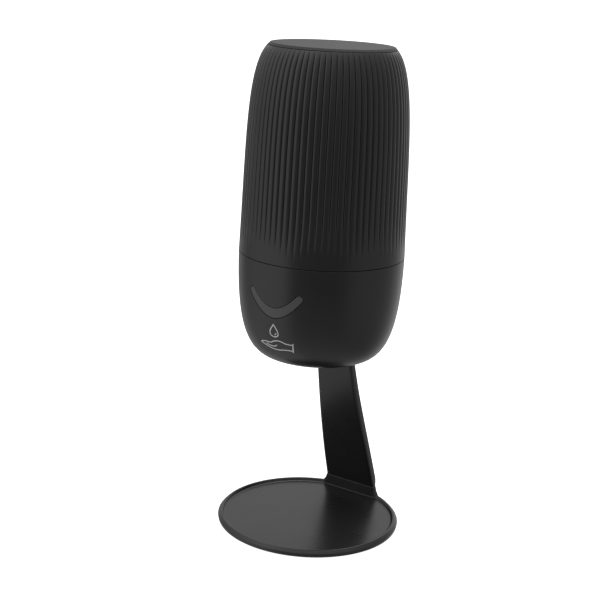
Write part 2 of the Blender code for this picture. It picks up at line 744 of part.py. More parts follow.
def build_bowl():
    """The lower shell with the key's opening, the port and the bosses for the chassis."""
    profile = [(p.x, p.y) for p in bowl_profile()]
    profile[0] = (BODY_RADIUS, BOWL_RIM_Z)
    bowl = turned("bowl_housing", profile, BLACK_PLASTIC, BODY_STEPS)
    wall = bowl.modifiers.new("wall", "SOLIDIFY")
    wall.thickness = BOWL_WALL
    wall.offset = -1.0
    wall.use_even_offset = True
    cut(bowl, rod("cover_opening", COVER_RADIUS + GAP, (0.0, 0.0, BOWL_BOTTOM_Z - OVERRUN),
                  (0.0, 0.0, COVER_TOP_Z + 2 * BOWL_WALL), steps=BODY_STEPS), solver="MANIFOLD")
    boss_foot = BOWL_BOTTOM_Z + BOSS_ROOT
    for i, (x, y) in enumerate(round_places(BOSS_COUNT, BOSS_CIRCLE_RADIUS, math.pi / 4)):
        join(bowl, rod(f"boss_{i}", BOSS_RADIUS, (x, y, boss_foot), (x, y, CHASSIS_Z - GAP),
                       steps=TINY_STEPS), solver="MANIFOLD")
    for i, (x, y) in enumerate(round_places(BOSS_COUNT, BOSS_CIRCLE_RADIUS, math.pi / 4)):
        cut(bowl, rod(f"boss_hole_{i}", SCREW_RADIUS + GAP,
                      (x, y, CHASSIS_TOP_Z - SCREW_DEPTH - OVERRUN),
                      (x, y, CHASSIS_TOP_Z), steps=TINY_STEPS), solver="MANIFOLD")
    front = -BODY_RADIUS - OVERRUN
    cut(bowl, slab("key_opening", key_outline(GAP), front, -BODY_RADIUS / 2),
        solver="MANIFOLD")
    back = BODY_RADIUS + OVERRUN
    recess = rounded_outline(PORT_COVER_WIDTH + 2 * GAP, PORT_COVER_HEIGHT + 2 * GAP,
                             PORT_COVER_ROUND, USB_Z)
    cut(bowl, slab("port_recess", recess, port_recess_y(), back), solver="MANIFOLD")
    hole = rounded_outline(PORT_HOLE_WIDTH, PORT_HOLE_HEIGHT, PORT_HOLE_ROUND, USB_Z)
    cut(bowl, slab("port_hole", hole, BODY_RADIUS / 2, back), solver="MANIFOLD")


def build_bottom_cover():
    """The round cover under the bowl with the nozzle, sensor and tongue openings."""
    cover = turned("bottom_cover", [(0.0, COVER_TOP_Z), (COVER_RADIUS, COVER_TOP_Z),
                                    (COVER_RADIUS, BOWL_BOTTOM_Z), (0.0, BOWL_BOTTOM_Z)],
                   BLACK_PLASTIC, RING_STEPS)
    low, high = BOWL_BOTTOM_Z - OVERRUN, COVER_TOP_Z + OVERRUN
    cut(cover, rod("nozzle_hole", NOZZLE_RADIUS + GAP, (0.0, PUMP_Y, low), (0.0, PUMP_Y, high)))
    window = rounded_outline(WINDOW_WIDTH + 2 * GAP, WINDOW_DEPTH + 2 * GAP, WINDOW_ROUND)
    cut(cover, flat_slab("window_hole", window, low, high, y=SENSOR_Y))
    slot = rounded_outline(TONGUE_WIDTH + 2 * SLIDE_GAP, TONGUE_THICKNESS + 2 * SLIDE_GAP,
                           TONGUE_THICKNESS / 3)
    cut(cover, flat_slab("tongue_hole", slot, low, high, y=TONGUE_Y))
    for side, label in ((-1, "left"), (1, "right")):
        x = side * SOCKET_SCREW_X
        cut(cover, rod(f"cover_screw_hole_{side}", SCREW_RADIUS + GAP, (x, TONGUE_Y, low),
                       (x, TONGUE_Y, high), steps=TINY_STEPS))
        sink = BOWL_BOTTOM_Z + SCREW_HEAD_HEIGHT / 2
        cut(cover, rod(f"cover_screw_sink_{side}", SCREW_HEAD_RADIUS + GAP,
                       (x, TONGUE_Y, low), (x, TONGUE_Y, sink + GAP), steps=TINY_STEPS))
        screw_at(f"cover_screw_{label}", (x, TONGUE_Y, sink), (0, 0, 1), SCREW_DEPTH,
                 head_height=SCREW_HEAD_HEIGHT / 2)


def build_socket():
    """The sleeve between cover and chassis that takes the column's tongue."""
    low, high = COVER_TOP_Z + GAP, CHASSIS_Z - GAP
    outline = rounded_outline(SOCKET_WIDTH, SOCKET_DEPTH, SOCKET_DEPTH / 4)
    socket = flat_slab("stand_socket", outline, low, high, WHITE_PLASTIC, y=TONGUE_Y)
    slot = rounded_outline(TONGUE_WIDTH + 2 * SLIDE_GAP, TONGUE_THICKNESS + 2 * SLIDE_GAP,
                           TONGUE_THICKNESS / 3)
    cut(socket, flat_slab("tongue_slot", slot, low - OVERRUN, high + OVERRUN, y=TONGUE_Y))
    for side in (-1, 1):
        x = side * SOCKET_SCREW_X
        cut(socket, rod(f"socket_screw_hole_{side}", SCREW_RADIUS + GAP,
                        (x, TONGUE_Y, low - OVERRUN), (x, TONGUE_Y, high + OVERRUN),
                        steps=TINY_STEPS))


def build_chassis():
    """The plate over the bosses with cradles for the pump and the battery."""
    chassis = turned("chassis", [(0.0, CHASSIS_TOP_Z), (CHASSIS_RADIUS, CHASSIS_TOP_Z),
                                 (CHASSIS_RADIUS, CHASSIS_Z), (0.0, CHASSIS_Z)],
                     WHITE_PLASTIC, RING_STEPS)
    middle = CHASSIS_TOP_Z + CRADLE_HEIGHT / 2 - CRADLE_BURY / 2
    height = CRADLE_HEIGHT + CRADLE_BURY
    join(chassis, block("pump_cradle", (PUMP_CRADLE_LENGTH, PUMP_CRADLE_WIDTH, height),
                        (PUMP_FACE_X + HOUSING_LENGTH - PUMP_CRADLE_LENGTH / 2, PUMP_Y,
                         middle)),
         block("battery_cradle", (BATTERY_CRADLE_LENGTH, BATTERY_CRADLE_WIDTH, height),
               (0.0, BATTERY_Y, middle)))
    reach = CHASSIS_RADIUS
    cut(chassis, rod("pump_seat", PUMP_RADIUS + GAP, (-reach, PUMP_Y, PUMP_Z),
                     (reach, PUMP_Y, PUMP_Z)),
        rod("battery_seat", BATTERY_RADIUS + GAP, (-reach, BATTERY_Y, BATTERY_Z),
            (reach, BATTERY_Y, BATTERY_Z)))
    strap_reach = BATTERY_RADIUS + STRAP_THICKNESS + 3 * GAP
    cut(chassis, block("strap_slot", (STRAP_WIDTH + 2 * GAP, 2 * strap_reach + STRAP_FOOT,
                                      CRADLE_HEIGHT + OVERRUN),
                       (0.0, BATTERY_Y, CHASSIS_TOP_Z + (CRADLE_HEIGHT + OVERRUN) / 2)))
    low, high = CHASSIS_Z - OVERRUN, CHASSIS_TOP_Z + CRADLE_HEIGHT + OVERRUN
    cut(chassis, rod("tube_pass", TUBE_PASS_RADIUS, (PORT_X, PUMP_Y, low),
                     (PORT_X, PUMP_Y, high)))
    spots = list(round_places(BOSS_COUNT, BOSS_CIRCLE_RADIUS, math.pi / 4))
    spots += [(-SOCKET_SCREW_X, TONGUE_Y), (SOCKET_SCREW_X, TONGUE_Y)]
    for i, (x, y) in enumerate(spots):
        cut(chassis, rod(f"chassis_hole_{i}", SCREW_RADIUS + GAP, (x, y, low),
                         (x, y, CHASSIS_TOP_Z + OVERRUN), steps=TINY_STEPS),
            rod(f"chassis_head_room_{i}", SCREW_HEAD_RADIUS + GAP, (x, y, CHASSIS_TOP_Z),
                (x, y, high), steps=TINY_STEPS))
        screw_at(f"chassis_screw_{i + 1}", (x, y, CHASSIS_TOP_Z + GAP / 2), (0, 0, -1),
                 SCREW_DEPTH)


def build_motor():
    """The motor can, its shaft and the eccentric hub on it."""
    face = PUMP_FACE_X - GAP
    tail = face - MOTOR_LENGTH
    motor = rod("pump_motor", MOTOR_RADIUS, (tail, PUMP_Y, PUMP_Z), (face, PUMP_Y, PUMP_Z),
                STEEL)
    join(motor, rod("motor_end", MOTOR_END_RADIUS, (tail - MOTOR_END_LENGTH, PUMP_Y, PUMP_Z),
                    (tail + OVERRUN, PUMP_Y, PUMP_Z), steps=TINY_STEPS))
    cut(motor, rod("shaft_bore", SHAFT_RADIUS + GAP,
                   (face - SHAFT_SEAT - GAP, PUMP_Y, PUMP_Z),
                   (face + OVERRUN, PUMP_Y, PUMP_Z), steps=TINY_STEPS))
    shaft = rod("motor_shaft", SHAFT_RADIUS, (face - SHAFT_SEAT, PUMP_Y, PUMP_Z),
                (face - SHAFT_SEAT + SHAFT_LENGTH, PUMP_Y, PUMP_Z), STEEL, TINY_STEPS)
    origin_at(shaft, (0.0, PUMP_Y, PUMP_Z))
    start = PUMP_FACE_X + HOUSING_BACK + 2 * GAP
    hub = rod("eccentric_hub", HUB_RADIUS, (start, PUMP_Y, PUMP_Z),
              (start + HUB_LENGTH, PUMP_Y, PUMP_Z), WHITE_PLASTIC)
    notch_z = PUMP_Z + HUB_RADIUS
    cut(hub, rod("hub_bore", SHAFT_RADIUS + GAP / 3, (start - OVERRUN, PUMP_Y, PUMP_Z),
                 (start + HUB_LENGTH + OVERRUN, PUMP_Y, PUMP_Z), steps=TINY_STEPS),
        rod("hub_notch", HUB_WEIGHT_OFFSET, (start + HUB_LENGTH / 2, PUMP_Y, notch_z),
            (start + HUB_LENGTH + OVERRUN, PUMP_Y, notch_z), steps=TINY_STEPS))
    origin_at(hub, (0.0, PUMP_Y, PUMP_Z))


def build_pump():
    """Housing, wobble plate, diaphragm, head and screws of the foam pump."""
    back = PUMP_FACE_X
    mouth = back + HOUSING_LENGTH
    bore = PUMP_RADIUS - HOUSING_WALL
    housing = along_x(turned("pump_housing", [
        (PUMP_RADIUS, HOUSING_LENGTH), (PUMP_RADIUS, 0.0), (MOTOR_END_RADIUS, 0.0),
        (MOTOR_END_RADIUS, HOUSING_BACK), (bore, HOUSING_BACK), (bore, HOUSING_LENGTH)],
        WHITE_PLASTIC, ring=True), back, PUMP_Y, PUMP_Z)
    seat = mouth - POCKET_DEPTH - GAP
    plate_x = seat - WOBBLE_THICKNESS
    hub_end = back + HOUSING_BACK + 2 * GAP + HUB_LENGTH
    shaft_end = back - GAP - SHAFT_SEAT + SHAFT_LENGTH
    wobble = rod("wobble_plate", WOBBLE_RADIUS, (plate_x, PUMP_Y, PUMP_Z),
                 (seat, PUMP_Y, PUMP_Z), WHITE_PLASTIC)
    join(wobble, rod("wobble_stem", WOBBLE_STEM_RADIUS,
                     (max(hub_end, shaft_end) + GAP, PUMP_Y, PUMP_Z),
                     (seat - WOBBLE_THICKNESS / 2, PUMP_Y, PUMP_Z), steps=TINY_STEPS))
    skin = mouth + GAP
    diaphragm = rod("diaphragm", PUMP_RADIUS, (skin, PUMP_Y, PUMP_Z),
                    (skin + DIAPHRAGM_THICKNESS, PUMP_Y, PUMP_Z), CLEAR_SILICONE)
    for i, (dy, dz) in enumerate(round_places(POCKET_COUNT, POCKET_CIRCLE, math.pi / 6)):
        join(diaphragm, rod(f"pocket_{i}", POCKET_RADIUS,
                            (mouth - POCKET_DEPTH, PUMP_Y + dy, PUMP_Z + dz),
                            (skin + DIAPHRAGM_THICKNESS / 2, PUMP_Y + dy, PUMP_Z + dz),
                            steps=TINY_STEPS), solver="MANIFOLD")
    base = skin + DIAPHRAGM_THICKNESS + GAP
    head = along_x(turned("pump_head", [
        (0.0, HEAD_FLANGE + HEAD_MANIFOLD_LENGTH),
        (HEAD_MANIFOLD_RADIUS, HEAD_FLANGE + HEAD_MANIFOLD_LENGTH),
        (HEAD_MANIFOLD_RADIUS, HEAD_FLANGE), (PUMP_RADIUS, HEAD_FLANGE),
        (PUMP_RADIUS, 0.0), (0.0, 0.0)], WHITE_PLASTIC), base, PUMP_Y, PUMP_Z)
    join(head, rod("upper_nipple", NIPPLE_RADIUS, (PORT_X, PUMP_Y, PUMP_Z),
                   (PORT_X, PUMP_Y, PUMP_Z + UPPER_NIPPLE_REACH), steps=TINY_STEPS),
         rod("lower_nipple", NIPPLE_RADIUS, (PORT_X, PUMP_Y, PUMP_Z),
             (PORT_X, PUMP_Y, PUMP_Z - LOWER_NIPPLE_REACH), steps=TINY_STEPS))
    circle = PUMP_RADIUS - HOUSING_WALL / 2
    top = base + HEAD_FLANGE + GAP / 2
    for i, (dy, dz) in enumerate(round_places(PUMP_SCREW_COUNT, circle)):
        hole = rod(f"pump_screw_hole_{i}", PUMP_SCREW_RADIUS + GAP,
                   (top - PUMP_SCREW_DEPTH - GAP, PUMP_Y + dy, PUMP_Z + dz),
                   (top + OVERRUN, PUMP_Y + dy, PUMP_Z + dz), steps=TINY_STEPS)
        cut(housing, hole)
        cut(diaphragm, hole)
        cut(head, hole)
        screw_at(f"pump_screw_{i + 1}", (top, PUMP_Y + dy, PUMP_Z + dz), (-1, 0, 0),
                 PUMP_SCREW_DEPTH, PUMP_SCREW_RADIUS, PUMP_SCREW_HEAD_RADIUS,
                 PUMP_SCREW_HEAD_HEIGHT)


def hollow_tube(name, points, first_run, last_run):
    """A soft tube through points, bored right through."""
    tube = rod_along(name, points, TUBE_RADIUS, CLEAR_SILICONE)
    longer = [Vector(points[0]) - Vector(first_run).normalized() * OVERRUN, *points,
              Vector(points[-1]) + Vector(last_run).normalized() * OVERRUN]
    cut(tube, rod_along(name + "_bore", longer, TUBE_BORE_RADIUS))


def build_tubes():
    """The tube from the tank to the pump and the one from the pump to the foam head."""
    pump_top = PUMP_Z + HEAD_MANIFOLD_RADIUS + GAP
    tank_low = TANK_UNDERSIDE_Z - GAP
    hollow_tube("inlet_tube", [(PORT_X, PUMP_Y, pump_top), (PORT_X, PUMP_Y, tank_low)],
                (0, 0, 1), (0, 0, 1))
    port_z = COVER_TOP_Z + GAP + FOAM_PORT_RISE
    nipple_end = PUMP_Z - LOWER_NIPPLE_REACH
    corner_x, corner_z = PORT_X - TUBE_BEND_RADIUS, port_z + TUBE_BEND_RADIUS
    points = [(PORT_X, PUMP_Y, nipple_end + TUBE_OVERLAP)]
    for i in range(ARC_STEPS):
        angle = math.pi / 2 * i / (ARC_STEPS - 1)
        points.append((corner_x + TUBE_BEND_RADIUS * math.cos(angle), PUMP_Y,
                       corner_z - TUBE_BEND_RADIUS * math.sin(angle)))
    points.append((FOAM_HEAD_RADIUS + GAP, PUMP_Y, port_z))
    hollow_tube("foam_tube", points, (0, 0, -1), (-1, 0, 0))


def build_foam_head():
    """The mixing tube, its meshes and the nozzle below it."""
    low, high = COVER_TOP_Z + GAP, CHASSIS_Z - GAP
    head = turned("foam_head", [
        (0.0, high), (FOAM_HEAD_RADIUS, high), (FOAM_HEAD_RADIUS, low),
        (FOAM_BORE_RADIUS, low), (FOAM_BORE_RADIUS, high - FOAM_HEAD_CROWN),
        (0.0, high - FOAM_HEAD_CROWN)], WHITE_PLASTIC)
    shift(head, y=PUMP_Y)
    port_z = low + FOAM_PORT_RISE
    join(head, rod("foam_port", NIPPLE_RADIUS,
                   ((FOAM_HEAD_RADIUS + FOAM_BORE_RADIUS) / 2, PUMP_Y, port_z),
                   (FOAM_PORT_REACH, PUMP_Y, port_z), steps=TINY_STEPS))
    cut(head, rod("foam_port_bore", SPOUT_BORE_RADIUS, (0.0, PUMP_Y, port_z),
                  (FOAM_PORT_REACH + OVERRUN, PUMP_Y, port_z), steps=TINY_STEPS))
    nozzle_low = BOWL_BOTTOM_Z - NOZZLE_STAND
    nozzle_top = COVER_TOP_Z + NOZZLE_INSERT
    shift(turned("nozzle", [
        (NOZZLE_RADIUS, nozzle_top), (NOZZLE_RADIUS, nozzle_low),
        (NOZZLE_BORE_RADIUS, nozzle_low), (NOZZLE_BORE_RADIUS, nozzle_top)],
        BLACK_RUBBER, ring=True), y=PUMP_Y)
    for i in range(MESH_COUNT):
        bottom = nozzle_top + GAP + i * (MESH_THICKNESS + GAP)
        rod(f"foam_mesh_{i + 1}", MESH_RADIUS, (0.0, PUMP_Y, bottom),
            (0.0, PUMP_Y, bottom + MESH_THICKNESS), WHITE_PLASTIC)


def build_sensor():
    """The sensor's window, its board and its two diodes."""
    outline = rounded_outline(WINDOW_WIDTH, WINDOW_DEPTH, WINDOW_ROUND)
    top = COVER_TOP_Z
    flat_slab("sensor_window", outline, top - WINDOW_THICKNESS, top, DARK_WINDOW, y=SENSOR_Y)
    board_z = top + SENSOR_RISE
    block("sensor_board", (SENSOR_BOARD_WIDTH, SENSOR_BOARD_DEPTH, BOARD_THICKNESS),
          (0.0, SENSOR_Y, board_z + BOARD_THICKNESS / 2), BOARD_GREEN)
    for side, label in ((-1, "infrared_emitter"), (1, "infrared_receiver")):
        rod(label, DIODE_RADIUS, (side * DIODE_X, SENSOR_Y, top + GAP),
            (side * DIODE_X, SENSOR_Y, board_z - GAP), CHIP_BLACK, TINY_STEPS)


def build_battery():
    """The battery cell and the strap that holds it in its cradle."""
    half = BATTERY_LENGTH / 2
    cell = rod("battery_cell", BATTERY_RADIUS, (-half, BATTERY_Y, BATTERY_Z),
               (half, BATTERY_Y, BATTERY_Z), BATTERY_WRAP)
    join(cell, rod("battery_tip", BATTERY_TIP_RADIUS, (half - OVERRUN, BATTERY_Y, BATTERY_Z),
                   (half + BATTERY_TIP_LENGTH, BATTERY_Y, BATTERY_Z), steps=TINY_STEPS))
    inner = BATTERY_RADIUS + GAP
    outer = inner + STRAP_THICKNESS
    foot_low, foot_high = CHASSIS_TOP_Z + GAP, CHASSIS_TOP_Z + GAP + STRAP_THICKNESS
    arc = [math.pi * i / (STRAP_POINTS - 1) for i in range(STRAP_POINTS)]
    outline = [(outer + STRAP_FOOT / 2, foot_low), (outer + STRAP_FOOT / 2, foot_high),
               (outer, foot_high)]
    outline += [(outer * math.cos(a), BATTERY_Z + outer * math.sin(a)) for a in arc]
    outline += [(-outer, foot_high), (-outer - STRAP_FOOT / 2, foot_high),
                (-outer - STRAP_FOOT / 2, foot_low), (-inner, foot_low)]
    outline += [(inner * math.cos(a), BATTERY_Z + inner * math.sin(a)) for a in arc[::-1]]
    outline += [(inner, foot_low)]
    strap = slab("battery_strap", outline, -STRAP_WIDTH / 2, STRAP_WIDTH / 2, BLACK_RUBBER)
    strap.matrix_world = Matrix.Translation((0.0, BATTERY_Y, 0.0)) @ Matrix.Rotation(
        math.pi / 2, 4, "Z") @ strap.matrix_world


def build_main_board():
    """The upright board behind the battery, what is soldered to it and its socket."""
    low = CHASSIS_TOP_Z + GAP
    block("main_board", (MAIN_BOARD_WIDTH, BOARD_THICKNESS, MAIN_BOARD_HEIGHT),
          (0.0, MAIN_BOARD_Y + BOARD_THICKNESS / 2, low + MAIN_BOARD_HEIGHT / 2), BOARD_GREEN)
    front = MAIN_BOARD_Y - GAP
    quarter = MAIN_BOARD_WIDTH / 4
    upper_z = low + MAIN_BOARD_HEIGHT * 3 / 4
    block("control_chip", (CHIP_SIZE, CHIP_HEIGHT, CHIP_SIZE),
          (-quarter, front - CHIP_HEIGHT / 2, upper_z), CHIP_BLACK)
    block("power_coil", (COIL_SIZE, COIL_HEIGHT, COIL_SIZE),
          (0.0, front - COIL_HEIGHT / 2, upper_z), CHIP_BLACK)
    block("battery_plug", (PLUG_SOCKET_WIDTH, PLUG_SOCKET_DEPTH, PLUG_SOCKET_HEIGHT),
          (quarter, front - PLUG_SOCKET_DEPTH / 2, upper_z), WHITE_PLASTIC)
    near = MAIN_BOARD_Y + BOARD_THICKNESS + GAP
    far = near + USB_DEPTH
    shell = rounded_outline(USB_WIDTH, USB_HEIGHT, USB_HEIGHT / 3, USB_Z)
    socket = slab("usb_socket", shell, near, far, STEEL)
    mouth = rounded_outline(USB_WIDTH - 2 * USB_WALL, USB_HEIGHT - 2 * USB_WALL,
                            USB_HEIGHT / 4, USB_Z)
    cut(socket, slab("usb_mouth", mouth, near + USB_WALL, far + OVERRUN))
    join(socket, block("usb_tongue", (USB_WIDTH - 2 * USB_TONGUE_SIDE, USB_DEPTH - OVERRUN,
                                      USB_TONGUE_HEIGHT),
                       (0.0, near + (USB_DEPTH - OVERRUN) / 2 + USB_WALL / 2, USB_Z)))


def build_port_cover():
    """The soft flap over the charging port, hinged along its top edge."""
    floor = port_recess_y() + GAP
    outline = rounded_outline(PORT_COVER_WIDTH, PORT_COVER_HEIGHT, PORT_COVER_ROUND - GAP, USB_Z)
    cover = slab("port_cover", outline, floor, BODY_RADIUS + OVERRUN, BLACK_RUBBER)
    combine(cover, bowl_core("port_cover_face", 0.0), "INTERSECT")
    plug = rounded_outline(PLUG_WIDTH, PLUG_HEIGHT, PLUG_HEIGHT / 3, USB_Z)
    join(cover, slab("port_plug", plug, floor - PLUG_REACH, floor + PORT_COVER_THICKNESS / 2))
    origin_at(cover, (0.0, floor + PORT_HINGE_DEPTH, PORT_HINGE_Z))


def build_key():
    """The indicator key: a bar flush with the bowl, a flange behind the wall and a stem."""
    near = -BODY_RADIUS - OVERRUN
    key = slab("indicator_key", key_outline(0.0), near, -BODY_RADIUS * 2 / 3, KEY_PLASTIC)
    combine(key, bowl_core("key_face", 0.0), "INTERSECT")
    flange = slab("key_flange", key_outline(KEY_FLANGE_REACH), near - OVERRUN,
                  -BODY_RADIUS * 2 / 3 + OVERRUN)
    combine(flange, bowl_core("flange_face", BOWL_WALL + GAP), "INTERSECT")
    join(key, flange, solver="MANIFOLD")
    cut(key, bowl_core("key_back", BOWL_WALL + GAP + KEY_FLANGE_THICKNESS),
        solver="MANIFOLD")
    inner = bowl_radius(KEY_MIDDLE_Z) - BOWL_WALL - GAP - KEY_FLANGE_THICKNESS
    join(key, rod("key_stem", KEY_STEM_RADIUS, (0.0, -inner - KEY_FLANGE_THICKNESS / 2,
                                                KEY_MIDDLE_Z),
                  (0.0, -inner + KEY_STEM_LENGTH, KEY_MIDDLE_Z), steps=TINY_STEPS))
    origin_at(key, (0.0, -inner, KEY_MIDDLE_Z))


def build_key_board():
    """The upright board behind the key, its switch and its lamps."""
    inner = bowl_radius(KEY_MIDDLE_Z) - BOWL_WALL - GAP - KEY_FLANGE_THICKNESS
    plunger_end = -inner + KEY_STEM_LENGTH + KEY_TRAVEL + GAP
    switch_front = plunger_end + SWITCH_DEPTH / 2
    board_front = switch_front + SWITCH_DEPTH + GAP
    low = CHASSIS_TOP_Z + GAP
    block("key_board", (KEY_BOARD_WIDTH, BOARD_THICKNESS, KEY_BOARD_HEIGHT),
          (0.0, board_front + BOARD_THICKNESS / 2, low + KEY_BOARD_HEIGHT / 2), BOARD_GREEN)
    switch = block("key_switch", (SWITCH_WIDTH, SWITCH_DEPTH, SWITCH_WIDTH),
                   (0.0, switch_front + SWITCH_DEPTH / 2, KEY_MIDDLE_Z), CHIP_BLACK)
    join(switch, rod("plunger", PLUNGER_RADIUS, (0.0, plunger_end, KEY_MIDDLE_Z),
                     (0.0, switch_front + SWITCH_DEPTH / 2, KEY_MIDDLE_Z),
                     steps=TINY_STEPS))
    for i, x in enumerate((*LAMP_PLACES, *(-x for x in LAMP_PLACES))):
        reach = math.hypot(x, KEY_BEND_LENGTH)
        z = KEY_MIDDLE_Z + KEY_BEND_SLOPE * (reach - KEY_BEND_LENGTH)
        block(f"indicator_lamp_{i + 1}", (LAMP_WIDTH, LAMP_DEPTH, LAMP_HEIGHT),
              (x, board_front - GAP - LAMP_DEPTH / 2, z), LAMP_WHITE)


def flute_depth(height):
    """How deep the flutes are at a height: they run out at the rim and fade out below."""
    if height > TANK_RIM_Z - FLUTE_RUNOUT / 2:
        return 0.0
    rise = (height - TANK_EDGE_Z - FLUTE_FOOT_RISE) / FLUTE_FADE
    fade = min(max(rise, 0.0), 1.0)
    return FLUTE_DEPTH * math.sin(fade * math.pi / 2)


def flute_the_skin(mesh, steps):
    """Moves the outer skin's points inwards into half-round reeds with sharp grooves."""
    for vertex in mesh.vertices:
        radius = math.hypot(vertex.co.x, vertex.co.y)
        depth = flute_depth(vertex.co.z)
        if not depth or abs(radius - tank_radius(vertex.co.z)) > FLUTE_DEPTH / 4:
            continue
        step = round(math.atan2(vertex.co.x, -vertex.co.y) / (2 * math.pi) * steps)
        across = 2 * (step % FLUTE_FACETS) / FLUTE_FACETS - 1
        inset = depth * (1 - math.sqrt(1 - across ** 2))
        vertex.co.x *= (radius - inset) / radius
        vertex.co.y *= (radius - inset) / radius


def build_tank():
    """The reeded tank with its mouth, cavity, spigot, seal groove and outlet."""
    top = TANK_RIM_Z - FLUTE_RUNOUT
    foot = TANK_EDGE_Z + FLUTE_FOOT_RISE
    shoulder = top - TANK_SHOULDER
    levels = [TANK_RIM_Z, top, top - TANK_SHOULDER / 3, shoulder, foot + FLUTE_FADE, foot]
    levels += [shoulder - (shoulder - foot - FLUTE_FADE) * share
               for share in TANK_LEVEL_SHARES]
    levels.append(TANK_EDGE_Z)
    levels.sort(reverse=True)
    profile = [(0.0, TANK_RIM_Z), *((tank_radius(z), z) for z in levels), (0.0, TANK_EDGE_Z)]
    skin_steps = FLUTE_COUNT * FLUTE_FACETS
    blank = turned("tank_blank", profile, steps=skin_steps)
    bpy.context.view_layer.update()
    evaluated = blank.evaluated_get(bpy.context.evaluated_depsgraph_get())
    mesh = bpy.data.meshes.new_from_object(evaluated)
    bpy.data.objects.remove(blank, do_unlink=True)
    mesh.transform(Matrix.Rotation(-math.pi / 2, 4, "Z"))
    flute_the_skin(mesh, skin_steps)
    tank = place(bpy.data.objects.new("tank", mesh), BLACK_PLASTIC)
    mouth_low = TANK_RIM_Z - MOUTH_DEPTH
    shoulder = mouth_low - SHOULDER_DROP
    cavity = [(0.0, TANK_RIM_Z + OVERRUN), (MOUTH_RADIUS, TANK_RIM_Z + OVERRUN),
              (MOUTH_RADIUS, mouth_low)]
    for i in range(CAVITY_LEVELS):
        z = shoulder + (TANK_FLOOR_Z + TANK_WALL - shoulder) * i / (CAVITY_LEVELS - 1)
        cavity.append((tank_radius(z) - TANK_WALL, z))
    cavity += [(tank_radius(TANK_FLOOR_Z) - 2 * TANK_WALL, TANK_FLOOR_Z), (0.0, TANK_FLOOR_Z)]
    cut(tank, turned("tank_cavity", cavity, steps=RING_STEPS))
    seal_z = TANK_EDGE_Z - SPIGOT_LENGTH / 2
    groove = SEAL_GROOVE_HEIGHT / 2
    spigot_low = TANK_EDGE_Z - SPIGOT_LENGTH
    join(tank, turned("spigot", [
        (0.0, TANK_EDGE_Z + OVERRUN),
        (SPIGOT_RADIUS, TANK_EDGE_Z + OVERRUN),
        (SPIGOT_RADIUS, seal_z + groove),
        (SPIGOT_RADIUS - SEAL_GROOVE_DEPTH, seal_z + groove),
        (SPIGOT_RADIUS - SEAL_GROOVE_DEPTH, seal_z - groove),
        (SPIGOT_RADIUS, seal_z - groove),
        (SPIGOT_RADIUS, spigot_low),
        (0.0, spigot_low)], steps=BODY_STEPS))
    cut(tank, rod("spigot_bore", SPIGOT_RADIUS - SPIGOT_THICKNESS,
                  (0.0, 0.0, spigot_low - OVERRUN), (0.0, 0.0, TANK_UNDERSIDE_Z),
                  steps=RING_STEPS))
    join(tank, rod("spout", SPOUT_RADIUS,
                   (PORT_X, PUMP_Y, TANK_UNDERSIDE_Z + TANK_FLOOR_THICKNESS / 2),
                   (PORT_X, PUMP_Y, TANK_UNDERSIDE_Z - SPOUT_LENGTH), steps=TINY_STEPS))
    cut(tank, rod("spout_bore", SPOUT_BORE_RADIUS,
                  (PORT_X, PUMP_Y, TANK_UNDERSIDE_Z - SPOUT_LENGTH - OVERRUN),
                  (PORT_X, PUMP_Y, TANK_FLOOR_Z + OVERRUN), steps=TINY_STEPS))


def hoop(name, ring_radius, wire_radius, height, finish):
    """A round ring of round wire lying flat at a height."""
    points = []
    for i in range(WIRE_STEPS):
        angle = -2 * math.pi * i / WIRE_STEPS
        points.append((ring_radius + wire_radius * math.cos(angle),
                       height + wire_radius * math.sin(angle)))
    turned(name, points, finish, RING_STEPS, ring=True)


def build_tank_fittings():
    """The seal round the spigot and the strainer over the outlet."""
    hoop("tank_seal", SPIGOT_RADIUS - SEAL_GROOVE_DEPTH / 2 + GAP / 2, SEAL_RADIUS,
         TANK_EDGE_Z - SPIGOT_LENGTH / 2, BLACK_RUBBER)
    low = TANK_FLOOR_Z + GAP
    high = low + STRAINER_HEIGHT
    strainer = turned("tank_strainer", [
        (0.0, high), (STRAINER_RADIUS - STRAINER_WALL, high),
        (STRAINER_RADIUS, high - STRAINER_WALL), (STRAINER_RADIUS, low),
        (STRAINER_RADIUS - STRAINER_WALL, low),
        (STRAINER_RADIUS - STRAINER_WALL, high - STRAINER_WALL),
        (0.0, high - STRAINER_WALL)], WHITE_PLASTIC)
    shift(strainer, PORT_X, PUMP_Y)
    for i, (dx, dy) in enumerate(round_places(STRAINER_HOLES, STRAINER_HOLE_CIRCLE)):
        cut(strainer, rod(f"strainer_hole_{i}", STRAINER_HOLE_RADIUS,
                          (PORT_X + dx, PUMP_Y + dy, high - 2 * STRAINER_WALL),
                          (PORT_X + dx, PUMP_Y + dy, high + OVERRUN), steps=TINY_STEPS // 2))


